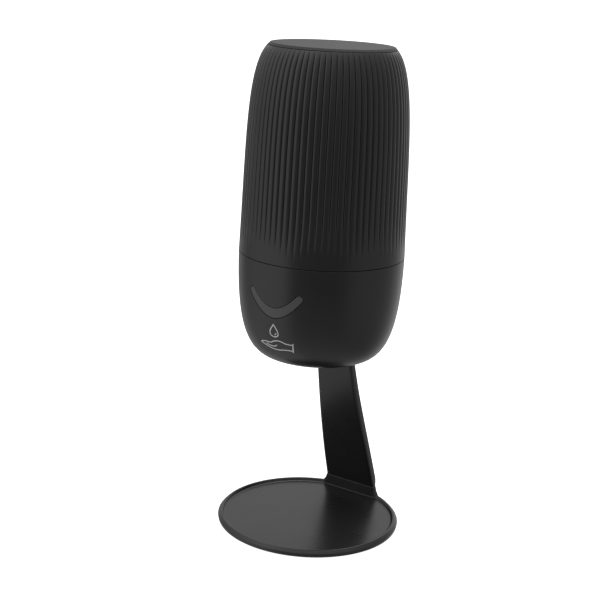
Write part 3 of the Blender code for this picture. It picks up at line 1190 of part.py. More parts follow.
def build_lid():
    """The flat lid with its skirt, and the gasket in the skirt's groove."""
    skirt = MOUTH_RADIUS - SKIRT_CLEARANCE
    gasket_z = LID_EDGE_Z - GASKET_DROP
    groove = GASKET_GROOVE_HEIGHT / 2
    skirt_low = LID_EDGE_Z - SKIRT_LENGTH
    turned("tank_lid", [
        (0.0, BODY_TOP_Z),
        (BODY_TOP_RADIUS - LID_EDGE_ROUND, BODY_TOP_Z),
        (tank_radius(BODY_TOP_Z - LID_EDGE_ROUND), BODY_TOP_Z - LID_EDGE_ROUND),
        (tank_radius(LID_EDGE_Z), LID_EDGE_Z),
        (skirt, LID_EDGE_Z),
        (skirt, gasket_z + groove),
        (skirt - GASKET_GROOVE_DEPTH, gasket_z + groove),
        (skirt - GASKET_GROOVE_DEPTH, gasket_z - groove),
        (skirt, gasket_z - groove),
        (skirt, skirt_low),
        (skirt - SKIRT_THICKNESS, skirt_low),
        (skirt - SKIRT_THICKNESS, BODY_TOP_Z - LID_PLATE),
        (0.0, BODY_TOP_Z - LID_PLATE)], LID_PLASTIC, BODY_STEPS)
    hoop("lid_gasket", skirt - GASKET_GROOVE_DEPTH + GASKET_RADIUS + GAP, GASKET_RADIUS,
         gasket_z, BLACK_RUBBER)


def main():
    """Builds every piece of the dispenser."""
    build_stand()
    build_bowl()
    build_bottom_cover()
    build_socket()
    build_chassis()
    build_motor()
    build_pump()
    build_tubes()
    build_foam_head()
    build_sensor()
    build_battery()
    build_main_board()
    build_port_cover()
    build_key()
    build_key_board()
    build_tank()
    build_tank_fittings()
    build_lid()


main()
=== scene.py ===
"""An automatic foam soap dispenser on its stand, dressed for its picture.

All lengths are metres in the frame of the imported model: +Z is up, the front looks along -Y, and the
origin is the middle of the underside of the tray.
"""

import logging
import math
from collections.abc import Sequence
from dataclasses import dataclass
from enum import Enum

import bmesh
import bpy
import numpy as np
from bpy.types import Material, Node, NodeSocket, NodeTree, Object
from mathutils import Matrix, Vector


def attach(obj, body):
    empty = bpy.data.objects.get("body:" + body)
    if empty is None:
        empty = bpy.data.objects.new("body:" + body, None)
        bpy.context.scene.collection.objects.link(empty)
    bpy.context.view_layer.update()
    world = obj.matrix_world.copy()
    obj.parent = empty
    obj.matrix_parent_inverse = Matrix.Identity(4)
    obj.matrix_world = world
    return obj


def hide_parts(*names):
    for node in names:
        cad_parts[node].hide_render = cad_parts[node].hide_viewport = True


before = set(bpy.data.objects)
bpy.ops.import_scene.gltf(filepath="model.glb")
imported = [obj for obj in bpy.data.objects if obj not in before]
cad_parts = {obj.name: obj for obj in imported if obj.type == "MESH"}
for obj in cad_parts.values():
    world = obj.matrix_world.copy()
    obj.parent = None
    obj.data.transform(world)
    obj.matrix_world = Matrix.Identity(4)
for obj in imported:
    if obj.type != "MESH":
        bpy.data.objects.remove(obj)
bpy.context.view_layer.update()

LOG = logging.getLogger("soap_dispenser")
FINE_POINTS = 1200

Point = tuple[float, float]
Place = tuple[float, float, float]
Colour = Place


class Joining(Enum):
    """How a second solid changes the first."""

    CUT = "DIFFERENCE"
    KEEP_INSIDE = "INTERSECT"
    ADD = "UNION"


class Body(Enum):
    """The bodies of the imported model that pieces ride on."""

    STAND = "stand"
    DISPENSER = "dispenser"
    LID = "lid"
    KEY = "key"
    PORT_COVER = "port_cover"


# --- Outlines ---


def bezier(knots: Sequence[Point], count: int) -> np.ndarray:
    """Points along a cubic curve.

    Args:
        knots: start, two handles and end.
        count: how many points.

    Returns:
        An array of count rows of two numbers.
    """
    start, first, second, end = (np.array(k, float) for k in knots)
    s = np.linspace(0.0, 1.0, count)[:, None]
    return (1 - s) ** 3 * start + 3 * (1 - s) ** 2 * s * first + 3 * (1 - s) * s**2 * second + s**3 * end


def rounded(corners: Sequence[Place], closed: bool = False, steps: int = 5) -> list[Point]:
    """A line through corners, each turned into an arc with a short straight on both sides.

    Args:
        corners: across, up and the radius of the arc there.
        closed: whether the last corner is joined to the first.
        steps: how many faces an arc has.

    Returns:
        The points of the line.
    """
    points: list[Point] = []
    count = len(corners)
    for i, (x, z, radius) in enumerate(corners):
        here = Vector((x, z))
        if radius <= 0.0 or (not closed and i in (0, count - 1)):
            points.append((x, z))
            continue
        before = (here - Vector(corners[i - 1][:2])).normalized()
        after = (Vector(corners[(i + 1) % count][:2]) - here).normalized()
        turn = before.angle(after, 0.0)
        run = radius * math.tan(turn / 2)
        inward = (after - before).normalized()
        centre = here + inward * (radius / math.cos(turn / 2))
        start = here - before * run
        support = radius / 2
        points.append(tuple(start - before * support))
        first = start - centre
        way = 1.0 if before.x * after.y - before.y * after.x > 0 else -1.0
        for step in range(steps + 1):
            angle = way * turn * step / steps
            c, s = math.cos(angle), math.sin(angle)
            points.append((centre.x + first.x * c - first.y * s, centre.y + first.x * s + first.y * c))
        points.append(tuple(here + after * (run + support)))
    return points


def mirrored(right: Sequence[Point]) -> list[Point]:
    """A closed outline from its right half, which runs from the lowest point to the highest one."""
    return list(right) + [(-x, z) for x, z in reversed(right[1:-1])]


def smooth_line(points: Sequence[Point], steps: int = 8) -> list[Point]:
    """A soft open line through the given points.

    Args:
        points: what the line passes through.
        steps: how many points it has for each stretch.

    Returns:
        The points of the line.
    """
    knots = [np.array(p, float) for p in points]
    knots = [2 * knots[0] - knots[1], *knots, 2 * knots[-1] - knots[-2]]
    line = []
    for a, b, c, d in zip(knots, knots[1:], knots[2:], knots[3:]):
        for step in range(steps):
            t = step / steps
            p = 0.5 * (2 * b + (c - a) * t + (2 * a - 5 * b + 4 * c - d) * t * t
                       + (3 * b - a - 3 * c + d) * t**3)
            line.append((float(p[0]), float(p[1])))
    return [*line, points[-1]]


@dataclass(frozen=True)
class BodyOutline:
    """The egg-shaped outline that the tank, the lid and the bowl share."""

    radius: float = 0.0420
    seam: float = 0.14665
    top_radius: float = 0.0305
    top: float = 0.2501
    bottom_radius: float = 0.0233
    bottom: float = 0.0929
    tank_handles: tuple[Point, Point] = ((0.958, 0.563), (0.990, 0.910))
    bowl_handles: tuple[Point, Point] = ((0.9955, 0.438), (0.962, 1.0))

    def tank_line(self, count: int = 400) -> np.ndarray:
        """Radius and height from the seam up to the top edge."""
        rise = self.top - self.seam
        handles = [(self.radius * a, self.seam + rise * b) for a, b in self.tank_handles]
        return bezier([(self.radius, self.seam), *handles, (self.top_radius, self.top)], count)

    def bowl_line(self, count: int = 400) -> np.ndarray:
        """Radius and height from the seam down to the bottom."""
        drop = self.seam - self.bottom
        handles = [(self.radius * a, self.seam - drop * b) for a, b in self.bowl_handles]
        return bezier([(self.radius, self.seam), *handles, (self.bottom_radius, self.bottom)], count)

    def tank_radius(self, height: float) -> float:
        """The radius of the upper half at a height."""
        line = self.tank_line()
        return float(np.interp(height, line[:, 1], line[:, 0]))

    def bowl_radius(self, height: float) -> float:
        """The radius of the lower half at a height."""
        line = self.bowl_line()[::-1]
        return float(np.interp(height, line[:, 1], line[:, 0]))

    def on_bowl(self, x: float, z: float, lift: float, side: int = -1) -> Place:
        """A point of the bowl's surface or off it, at the front for side -1 and at the back for 1."""
        return x, side * math.sqrt(max((self.bowl_radius(z) + lift) ** 2 - x * x, 0.0)), z

    def bowl_normals(self, radii: np.ndarray, heights: np.ndarray) -> tuple[np.ndarray, np.ndarray]:
        """Which way the bowl's surface looks near given points.

        Args:
            radii: distances from the axis.
            heights: heights of the same points.

        Returns:
            The outward and the upward share of the surface's normal.
        """
        line = self.bowl_line(FINE_POINTS)[::-1]
        run = np.gradient(line, axis=0)
        across, up = run[:, 1], -run[:, 0]
        length = np.hypot(across, up)
        place = line.sum(axis=1)
        wanted = radii + heights
        return np.interp(wanted, place, across / length), np.interp(wanted, place, up / length)


OUTLINE = BodyOutline()


# --- Meshes ---


def new_object(name: str, data: bpy.types.ID) -> Object:
    """A new object in the scene."""
    obj = bpy.data.objects.new(name, data)
    bpy.context.scene.collection.objects.link(obj)
    return obj


def use_up(objects: Sequence[Object]) -> None:
    """Takes objects that have served out of the scene."""
    for obj in objects:
        bpy.data.objects.remove(obj, do_unlink=True)


def values_of(items: Sequence, field: str, width: int = 1, kind: type = np.float32) -> np.ndarray:
    """One field of all points, corners or faces of a mesh, with a row for each when it is a vector."""
    values = np.zeros(len(items) * width, kind)
    items.foreach_get(field, values)
    return values.reshape(-1, width) if width > 1 else values


def mesh_piece(name: str, places: Sequence[Sequence[float]], faces: Sequence[Sequence[int]],
               sharp: float = 35.0) -> Object:
    """A closed object from points and faces, with its faces turned outwards.

    Args:
        name: the object's name.
        places: its points.
        faces: the point numbers of each face.
        sharp: the angle in degrees from which an edge stays sharp.

    Returns:
        The object, in the scene.
    """
    mesh = bpy.data.meshes.new(name)
    mesh.from_pydata([tuple(p) for p in places], [], [tuple(f) for f in faces])
    tidy = bmesh.new()
    tidy.from_mesh(mesh)
    bmesh.ops.remove_doubles(tidy, verts=tidy.verts, dist=1e-7)
    bmesh.ops.recalc_face_normals(tidy, faces=tidy.faces)
    tidy.to_mesh(mesh)
    tidy.free()
    obj = new_object(name, mesh)
    shade(obj, sharp)
    return obj


def shade(obj: Object, sharp: float) -> None:
    """Smooth shading, apart from edges sharper than an angle in degrees."""
    obj.data.shade_smooth()
    obj.data.set_sharp_from_angle(angle=math.radians(sharp))


def lathe(name: str, profile: Sequence[Point], columns: int | Sequence[float] = 192,
          ring: bool = False, centre: Point = (0.0, 0.0), sharp: float = 35.0) -> Object:
    """A turned solid.

    Args:
        name: the object's name.
        profile: radius and height of each row, from pole to pole unless ring is true.
        columns: how many columns there are, or the angle of each one.
        ring: whether the profile is a closed loop away from the axis.
        centre: where the axis stands.
        sharp: the angle in degrees from which an edge stays sharp.

    Returns:
        The object. Column 0 is at the front.
    """
    angles = [math.tau * i / columns for i in range(columns)] if isinstance(columns, int) else columns
    count = len(angles)
    sines, cosines = np.sin(angles), np.cos(angles)
    places: list[Place] = []
    rows: list[list[int]] = []
    for radius, height in profile:
        first = len(places)
        if radius < 1e-9:
            places.append((centre[0], centre[1], height))
            rows.append([first] * count)
            continue
        xs, ys = centre[0] + radius * sines, centre[1] - radius * cosines
        places.extend((float(x), float(y), height) for x, y in zip(xs, ys))
        rows.append(list(range(first, first + count)))
    faces = []
    pairs = list(zip(rows, rows[1:]))
    if ring:
        pairs.append((rows[-1], rows[0]))
    for low, high in pairs:
        for i in range(count):
            j = (i + 1) % count
            corners = dict.fromkeys((low[i], low[j], high[j], high[i]))
            if len(corners) > 2:
                faces.append(tuple(corners))
    return mesh_piece(name, places, faces, sharp)


def turned(name: str, corners: Sequence[Place], columns: int, steps: int = 5, **more: object) -> Object:
    """A turned solid whose profile has rounded corners, by rounded() and lathe()."""
    return lathe(name, rounded(corners, steps=steps), columns, **more)


def rod(name: str, radius: float, low: float, high: float, columns: int,
        centre: Point = (0.0, 0.0)) -> Object:
    """An upright cylinder, for cuts."""
    return lathe(name, [(0.0, low), (radius, low), (radius, high), (0.0, high)], columns, centre=centre)


def zipped_cap(loop: Sequence[int]) -> list[tuple[int, ...]]:
    """Faces that fill a loop made by mirrored(), as strips from its lower to its upper half."""
    count = len(loop)
    top = count // 2
    faces = []
    for start, way in ((0, 1), (0, -1)):
        for i in range(top // 2 + 1):
            low, low_next = (start + way * i) % count, (start + way * (i + 1)) % count
            high, high_next = (way * (top - i)) % count, (way * (top - i - 1)) % count
            corners = tuple(dict.fromkeys((loop[low], loop[low_next], loop[high_next], loop[high])))
            if i >= top - i:
                break
            if len(corners) > 2:
                faces.append(corners)
            if i + 1 >= top - i - 1:
                break
    return faces


def loft(name: str, loops: Sequence[Sequence[Sequence[float]]], zipped: bool = True,
         sharp: float = 35.0) -> Object:
    """A closed solid through loops that all have the same number of points.

    Args:
        name: the object's name.
        loops: the loops in order, each a list of points.
        zipped: whether the ends are filled with strips, else each end is one flat face.
        sharp: the angle in degrees from which an edge stays sharp.

    Returns:
        The object.
    """
    count = len(loops[0])
    places = [tuple(float(v) for v in p) for loop in loops for p in loop]
    faces: list[tuple[int, ...]] = []
    for row in range(len(loops) - 1):
        for i in range(count):
            j = (i + 1) % count
            low, high = row * count, (row + 1) * count
            faces.append((low + i, low + j, high + j, high + i))
    for start in (0, (len(loops) - 1) * count):
        loop = list(range(start, start + count))
        faces.extend(zipped_cap(loop) if zipped else [tuple(loop)])
    return mesh_piece(name, places, faces, sharp)


def applied(obj: Object) -> Object:
    """The object with its modifiers made part of a plain mesh."""
    bpy.context.view_layer.update()
    seen = obj.evaluated_get(bpy.context.evaluated_depsgraph_get())
    mesh = bpy.data.meshes.new_from_object(seen)
    obj.modifiers.clear()
    old, obj.data = obj.data, mesh
    bpy.data.meshes.remove(old)
    return obj


def changed_by(obj: Object, others: Sequence[Object], how: Joining, sharp: float = 35.0) -> Object:
    """Cuts, limits or joins a solid with others, which are used up.

    Args:
        obj: the solid that is kept.
        others: the solids that change it.
        how: what they do.
        sharp: the angle in degrees from which an edge stays sharp afterwards.

    Returns:
        obj.
    """
    for other in others:
        step = obj.modifiers.new(how.name.lower(), "BOOLEAN")
        step.operation = how.value
        step.solver = "EXACT"
        step.object = other
    applied(obj)
    use_up(others)
    shade(obj, sharp)
    even = obj.modifiers.new("even_shading", "WEIGHTED_NORMAL")
    even.keep_sharp = True
    even.weight = 100
    return applied(obj)


def gathered(first: Object, *others: Object) -> Object:
    """One object that holds the closed shells of several, which are used up."""
    mesh_data = bmesh.new()
    for obj in (first, *others):
        mesh_data.from_mesh(obj.data)
    mesh_data.to_mesh(first.data)
    mesh_data.free()
    use_up(others)
    return first


def upright_block(name: str, outline: Sequence[Point], low: float, high: float,
                  centre: Point = (0.0, 0.0)) -> Object:
    """A flat outline made thick along Z, with centre as its middle."""
    return loft(name, [[(centre[0] + x, centre[1] + y, z) for x, y in outline] for z in (low, high)],
                zipped=False)


def through_block(name: str, outline: Sequence[Point], near: float, far: float) -> Object:
    """An outline of across and up made thick along Y."""
    return loft(name, [[(x, y, z) for x, z in outline] for y in (near, far)], zipped=False)


def rounded_box(width: float, height: float, corner: float, middle: float = 0.0) -> list[Point]:
    """The outline of a rectangle with round corners, from its lowest middle point.

    Args:
        width: its width.
        height: its height.
        corner: the radius of its corners.
        middle: the height of its middle.

    Returns:
        Points that suit zipped_cap().
    """
    across, up = width / 2, height / 2
    corner = max(min(corner, across, up), 1e-6)
    right = [(across * s, -up) for s in (0.0, 0.25, 0.5)]
    for turn, start in ((-math.pi / 2, -1), (0.0, 1)):
        for step in range(9):
            angle = turn + math.pi / 2 * step / 8
            right.append((across - corner + corner * math.cos(angle),
                          start * (up - corner) + corner * math.sin(angle)))
    right += [(across * s, up) for s in (0.5, 0.25, 0.0)]
    return mirrored([(x, middle + z) for x, z in right])


def edge_steps(radius: float, steps: int = 4) -> list[Point]:
    """Growth and depth of the loops of a rounded edge, from the face down."""
    turns = [math.pi / 2 * step / steps for step in range(steps + 1)]
    return [(-radius + radius * math.sin(turn), radius - radius * math.cos(turn)) for turn in turns]


# --- Node trees ---


class NodeSheet:
    """A node tree with short calls to place and join nodes."""

    def __init__(self, tree: NodeTree) -> None:
        """Empties the tree."""
        self.tree = tree
        tree.nodes.clear()

    def join(self, value: object, socket: NodeSocket) -> None:
        """Links an output to an input, or sets the input to a value."""
        if isinstance(value, NodeSocket):
            self.tree.links.new(value, socket)
        else:
            socket.default_value = value

    def feed(self, node: Node, inputs: dict) -> Node:
        """Joins values or sockets to a node's inputs, by name or number."""
        for key, value in inputs.items():
            self.join(value, node.inputs[key])
        return node

    def add(self, kind: str, inputs: dict | None = None, **settings: object) -> Node:
        """Places a node of a type, with its inputs as for feed() and its own settings."""
        node = self.tree.nodes.new(kind)
        for key, value in settings.items():
            setattr(node, key, value)
        return self.feed(node, inputs or {})

    def maths(self, operation: str, *values: object, clamp: bool = False) -> NodeSocket:
        """The result of a Math node on numbers or sockets."""
        node = self.add("ShaderNodeMath", dict(enumerate(values)), operation=operation)
        node.use_clamp = clamp
        return node.outputs[0]

    def times(self, first: object, *others: object) -> NodeSocket:
        """The product of numbers or sockets."""
        for other in others:
            first = self.maths("MULTIPLY", first, other)
        return first

    def remap(self, value: NodeSocket, low: float, high: float, to_low: float = 0.0,
              to_high: float = 1.0) -> NodeSocket:
        """A value moved from one range to another, held inside it."""
        return self.add("ShaderNodeMapRange", {0: value, 1: low, 2: high, 3: to_low, 4: to_high}).outputs[0]

    def noise(self, place: NodeSocket, scale: object, detail: float, **more: float) -> NodeSocket:
        """The value of a noise texture."""
        given = {"Vector": place, "Scale": scale, "Detail": detail}
        given.update((key.title(), value) for key, value in more.items())
        return self.add("ShaderNodeTexNoise", given).outputs[0]

    def split(self, vector: NodeSocket) -> list[NodeSocket]:
        """The three shares of a vector or a colour."""
        return list(self.add("ShaderNodeSeparateXYZ", {0: vector}).outputs)

    def stretch(self, place: NodeSocket, scale: Place) -> NodeSocket:
        """A place scaled unlike along its axes."""
        return self.add("ShaderNodeMapping", {"Vector": place, "Scale": scale}).outputs[0]

    def bump(self, height: NodeSocket, distance: float) -> NodeSocket:
        """A normal bent by a height."""
        given = {"Height": height, "Strength": 1.0, "Distance": distance}
        return self.add("ShaderNodeBump", given).outputs[0]

    def blend(self, share: NodeSocket, first: object, second: object) -> NodeSocket:
        """A colour between two, by a share."""
        node = self.add("ShaderNodeMix", {0: share}, data_type="RGBA")
        for key, value in ((6, first), (7, second)):
            self.join(value if isinstance(value, NodeSocket) else (*value, 1.0), node.inputs[key])
        return node.outputs[2]


class EffectGroup:
    """A shader node group that several finishes share. It is built at its first use."""

    name: str = ""
    inputs: tuple[tuple[str, str], ...] = ()
    outputs: tuple[tuple[str, str], ...] = ()

    @classmethod
    def tree(cls) -> NodeTree:
        """The group's node tree."""
        found = bpy.data.node_groups.get(cls.name)
        if found:
            return found
        made = bpy.data.node_groups.new(cls.name, "ShaderNodeTree")
        for side, sockets in (("INPUT", cls.inputs), ("OUTPUT", cls.outputs)):
            for name, kind in sockets:
                made.interface.new_socket(name, in_out=side, socket_type="NodeSocket" + kind)
        sheet = NodeSheet(made)
        given = sheet.add("NodeGroupInput").outputs
        sheet.add("NodeGroupOutput", cls.build(sheet, given))
        return made

    @classmethod
    def build(cls, sheet: NodeSheet, given: bpy.types.NodeOutputs) -> dict[str, NodeSocket]:
        """Places the group's nodes and gives the socket for each output."""
        raise NotImplementedError

    @classmethod
    def placed(cls, sheet: NodeSheet, **values: object) -> Node:
        """A copy of the group in a material, with its inputs set by name."""
        node = sheet.add("ShaderNodeGroup", node_tree=cls.tree())
        return sheet.feed(node, {key.replace("_", " ").title(): value for key, value in values.items()})


class MouldingGrain(EffectGroup):
    """The fine spark-eroded grain of a mould, and the slow change of tone across a moulding."""

    name = "moulding_grain"
    inputs = (("Place", "Vector"), ("Cells Per Metre", "Float"))
    outputs = (("Height", "Float"), ("Tone", "Float"))

    @classmethod
    def build(cls, sheet: NodeSheet, given: bpy.types.NodeOutputs) -> dict[str, NodeSocket]:
        """Pits and pebbles from two textures, and a slow tone."""
        place, cells = given["Place"], given["Cells Per Metre"]
        pebbles = sheet.add("ShaderNodeTexVoronoi", {"Vector": place, "Scale": cells}, feature="SMOOTH_F1")
        pits = sheet.noise(place, sheet.times(cells, 2.7), 2.0)
        height = sheet.maths("ADD", sheet.times(pebbles.outputs["Distance"], 0.7), sheet.times(pits, 0.5))
        return {"Height": height, "Tone": sheet.remap(sheet.noise(place, 34.0, 4.0), 0.3, 0.7)}


class HandlingMarks(EffectGroup):
    """Faint smudges and fine wiping streaks that a finger or a cloth leaves."""

    name = "handling_marks"
    inputs = (("Place", "Vector"), ("Patch Size", "Float"))
    outputs = (("Mask", "Float"),)

    @classmethod
    def build(cls, sheet: NodeSheet, given: bpy.types.NodeOutputs) -> dict[str, NodeSocket]:
        """Soft patches broken up by streaks that run round the piece."""
        place = given["Place"]
        patches = sheet.noise(place, sheet.maths("DIVIDE", 1.0, given["Patch Size"]), 3.0,
                              roughness=0.6, distortion=0.6)
        streaks = sheet.noise(sheet.stretch(place, (60.0, 60.0, 900.0)), 1.0, 2.0)
        broken = sheet.remap(streaks, 0.25, 0.75, 0.55, 1.0)
        return {"Mask": sheet.times(sheet.remap(patches, 0.46, 0.72), broken)}


class SettledDust(EffectGroup):
    """Specks that settle on faces that look up."""

    name = "settled_dust"
    inputs = (("Place", "Vector"), ("Normal", "Vector"))
    outputs = (("Mask", "Float"),)

    @classmethod
    def build(cls, sheet: NodeSheet, given: bpy.types.NodeOutputs) -> dict[str, NodeSocket]:
        """Small rare specks, kept where the surface looks up."""
        facing = sheet.remap(sheet.split(given["Normal"])[2], 0.55, 0.95)
        specks = sheet.add("ShaderNodeTexVoronoi", {"Vector": given["Place"], "Scale": 700.0}).outputs
        small = sheet.remap(specks["Distance"], 0.06, 0.16, 1.0, 0.0)
        rare = sheet.remap(sheet.split(specks["Color"])[0], 0.80, 0.86)
        return {"Mask": sheet.times(facing, sheet.times(small, rare))}


# --- Finishes ---


@dataclass(frozen=True)
class Finish:
    """A slot's colour, with what all finishes share."""

    slot: str
    colour: Colour

    @property
    def label(self) -> str:
        """The material's name."""
        return "finish_" + self.slot

    def material(self) -> Material:
        """The material, built at its first use."""
        found = bpy.data.materials.get(self.label)
        if found:
            return found
        made = bpy.data.materials.new(self.label)
        made.use_nodes = True
        sheet = NodeSheet(made.node_tree)
        shader = sheet.add("ShaderNodeBsdfPrincipled")
        sheet.add("ShaderNodeOutputMaterial", {"Surface": shader.outputs[0]})
        place = sheet.add("ShaderNodeTexCoord").outputs
        sheet.feed(shader, self.surface(sheet, place["Object"], place["Normal"]))
        return made

    def surface(self, sheet: NodeSheet, place: NodeSocket, normal: NodeSocket) -> dict[str, object]:
        """Adds this finish's nodes and gives a value or a socket for each input of its shader."""
        raise NotImplementedError

    def shade_of(self, share: float) -> Colour:
        """The colour, darker or lighter by a share."""
        return tuple(c * share for c in self.colour)

    def grain_at(self, sheet: NodeSheet, place: NodeSocket, cells: float) -> bpy.types.NodeOutputs:
        """The grain's height and tone."""
        return MouldingGrain.placed(sheet, place=place, cells_per_metre=cells).outputs

    def marks_at(self, sheet: NodeSheet, place: NodeSocket, patch: float) -> NodeSocket:
        """The mask of the handling marks."""
        return HandlingMarks.placed(sheet, place=place, patch_size=patch).outputs["Mask"]

    def coat(self, obj: Object) -> None:
        """Makes this finish the only one of an object."""
        obj.data.materials.clear()
        obj.data.materials.append(self.material())


@dataclass(frozen=True)
class Moulding(Finish):
    """A moulded or coated surface with grain, faint marks and a few specks of dust."""

    roughness: float
    cells: float = 5200.0
    grain: float = 0.000006
    marks: float = 0.05
    dust: float = 0.25
    tone: float = 0.12
    specular: float = 0.5
    patch: float = 0.026
    speck_lift: float = 0.08
    speck_roughness: float = 0.3

    def surface(self, sheet: NodeSheet, place: NodeSocket, normal: NodeSocket) -> dict[str, object]:
        """Tone and specks in the colour, marks in the roughness, grain in the bump."""
        grain = self.grain_at(sheet, place, self.cells)
        marks = self.marks_at(sheet, place, self.patch)
        dust = SettledDust.placed(sheet, place=place, normal=normal).outputs["Mask"]
        colour = sheet.blend(grain["Tone"], self.shade_of(1 - self.tone), self.shade_of(1 + self.tone))
        speck = tuple(c + self.speck_lift for c in self.colour)
        shown = sheet.times(dust, self.dust)
        worn = sheet.maths("MULTIPLY_ADD", marks, -self.marks, self.roughness)
        return {"Base Color": sheet.blend(shown, colour, speck),
                "Roughness": sheet.maths("MULTIPLY_ADD", shown, self.speck_roughness, worn),
                "Normal": sheet.bump(grain["Height"], self.grain),
                "Specular IOR Level": self.specular}


@dataclass(frozen=True)
class Clear(Finish):
    """A smooth clouded surface with a few marks: milky silicone, or a polished lens under a coat."""

    roughness: float
    cells: float = 1800.0
    patch: float = 0.008
    cloud: float = 0.86
    marks: float = 0.12
    transmission: float = 0.55
    refraction: float = 1.41
    coat_weight: float = 0.0
    coat_roughness: float = 0.03

    def surface(self, sheet: NodeSheet, place: NodeSocket, normal: NodeSocket) -> dict[str, object]:
        """A cloudy colour and smudged gloss."""
        tone = self.grain_at(sheet, place, self.cells)["Tone"]
        marks = self.marks_at(sheet, place, self.patch)
        return {"Base Color": sheet.blend(tone, self.shade_of(self.cloud), self.colour),
                "Roughness": sheet.maths("MULTIPLY_ADD", marks, self.marks, self.roughness),
                "Transmission Weight": self.transmission, "IOR": self.refraction,
                "Coat Weight": self.coat_weight, "Coat Roughness": self.coat_roughness}


@dataclass(frozen=True)
class Steel(Finish):
    """Bright drawn steel with fine lines."""

    roughness: float = 0.28
    smoother: float = 0.05
    rougher: float = 0.08
    dull: float = 0.82
    lines: Place = (900.0, 900.0, 7000.0)
    depth: float = 0.000004

    def surface(self, sheet: NodeSheet, place: NodeSocket, normal: NodeSocket) -> dict[str, object]:
        """Fine drawn lines in the colour, the roughness and the bump."""
        lines = sheet.noise(sheet.stretch(place, self.lines), 1.0, 3.0)
        rough = sheet.remap(lines, 0.3, 0.7, self.roughness - self.smoother, self.roughness + self.rougher)
        return {"Base Color": sheet.blend(lines, self.shade_of(self.dull), self.colour), "Roughness": rough,
                "Normal": sheet.bump(lines, self.depth), "Metallic": 1.0}


@dataclass(frozen=True)
class Laminate(Finish):
    """Green solder mask over copper tracks."""

    cells: float = 4000.0
    tracks: float = 420.0
    track_edge: Point = (0.62, 0.70)
    track_height: float = 0.00003
    lighter: float = 1.9
    roughness: float = 0.30
    rougher: float = 0.10

    def surface(self, sheet: NodeSheet, place: NodeSocket, normal: NodeSocket) -> dict[str, object]:
        """Tracks stand a little lighter and higher than the board."""
        tone = self.grain_at(sheet, place, self.cells)["Tone"]
        tracks = sheet.add("ShaderNodeTexVoronoi", {"Vector": place, "Scale": self.tracks},
                           distance="MANHATTAN", feature="F2")
        line = sheet.remap(tracks.outputs["Distance"], *self.track_edge)
        return {"Base Color": sheet.blend(line, self.colour, self.shade_of(self.lighter)),
                "Roughness": sheet.maths("MULTIPLY_ADD", tone, self.rougher, self.roughness),
                "Normal": sheet.bump(line, self.track_height)}


@dataclass(frozen=True)
class ShrinkWrap(Finish):
    """Blue shrink wrap with bare metal bands at both ends of the cell."""

    half_length: float = 0.0248
    band: float = 0.0022
    band_edge: float = 0.0002
    metal: Colour = (0.55, 0.56, 0.57)
    cells: float = 1500.0
    grain: float = 0.000008
    lighter: float = 1.25
    roughness: float = 0.26
    rougher: float = 0.08

    def surface(self, sheet: NodeSheet, place: NodeSocket, normal: NodeSocket) -> dict[str, object]:
        """Bare metal shows past the ends of the wrap."""
        grain = self.grain_at(sheet, place, self.cells)
        edge = self.half_length - self.band
        end = sheet.remap(sheet.maths("ABSOLUTE", sheet.split(place)[0]), edge, edge + self.band_edge)
        wrap = sheet.blend(grain["Tone"], self.colour, self.shade_of(self.lighter))
        return {"Base Color": sheet.blend(end, wrap, self.metal), "Metallic": end,
                "Roughness": sheet.maths("MULTIPLY_ADD", grain["Tone"], self.rougher, self.roughness),
                "Normal": sheet.bump(grain["Height"], self.grain)}


BLACK_COAT = Moulding("black_coat", (0.0078, 0.0078, 0.0083), 0.29, cells=4200.0, grain=0.000003, dust=0.05)
BLACK_PLASTIC = Moulding("black_plastic", (0.0082, 0.0082, 0.0088), 0.31, grain=0.000004, dust=0.05)
LID_PLASTIC = Moulding("lid_plastic", (0.0110, 0.0110, 0.0117), 0.56, grain=0.000005, dust=0.08,
                       specular=0.42)
KEY_PLASTIC = Moulding("key_plastic", (0.0580, 0.0580, 0.0600), 0.52, tone=0.05, dust=0.1)
BLACK_RUBBER = Moulding("black_rubber", (0.0160, 0.0160, 0.0165), 0.72, cells=3000.0, grain=0.00001,
                        marks=0.03, specular=0.35)
WHITE_PLASTIC = Moulding("white_plastic", (0.72, 0.72, 0.70), 0.46, cells=2600.0, tone=0.03)
CHIP_BLACK = Moulding("chip_black", (0.020, 0.020, 0.021), 0.55, cells=6000.0, grain=0.00001, dust=0.0)
CLEAR_SILICONE = Clear("clear_silicone", (0.62, 0.63, 0.62), 0.32)
GLOSS = {"cells": 900.0, "patch": 0.006, "cloud": 0.8, "marks": 0.10, "transmission": 0.0,
         "refraction": 1.5, "coat_weight": 0.6, "coat_roughness": 0.04}
DARK_WINDOW = Clear("dark_window", (0.030, 0.010, 0.012), 0.07, **GLOSS)
LAMP_WHITE = Clear("lamp_white", (0.85, 0.85, 0.80), 0.15, **GLOSS)
STEEL = Steel("steel", (0.56, 0.57, 0.58))
BOARD_GREEN = Laminate("board_green", (0.02, 0.12, 0.05))
BATTERY_WRAP = ShrinkWrap("battery_wrap", (0.04, 0.16, 0.32))
FINISHES: dict[str, Finish] = {f.slot: f for f in (
    BLACK_COAT, BLACK_PLASTIC, LID_PLASTIC, KEY_PLASTIC, BLACK_RUBBER, WHITE_PLASTIC, CHIP_BLACK,
    CLEAR_SILICONE, DARK_WINDOW, LAMP_WHITE, STEEL, BOARD_GREEN, BATTERY_WRAP)}


@dataclass(frozen=True)
class PrintedInk(Moulding):
    """The pale ink of the printed pictogram, which shares the key's slot."""

    @property
    def label(self) -> str:
        """The ink's own material."""
        return "finish_printed_ink"


PRINTED_INK = PrintedInk("key_plastic", (0.60, 0.60, 0.605), 0.55, dust=0.0, marks=0.0, tone=0.06)


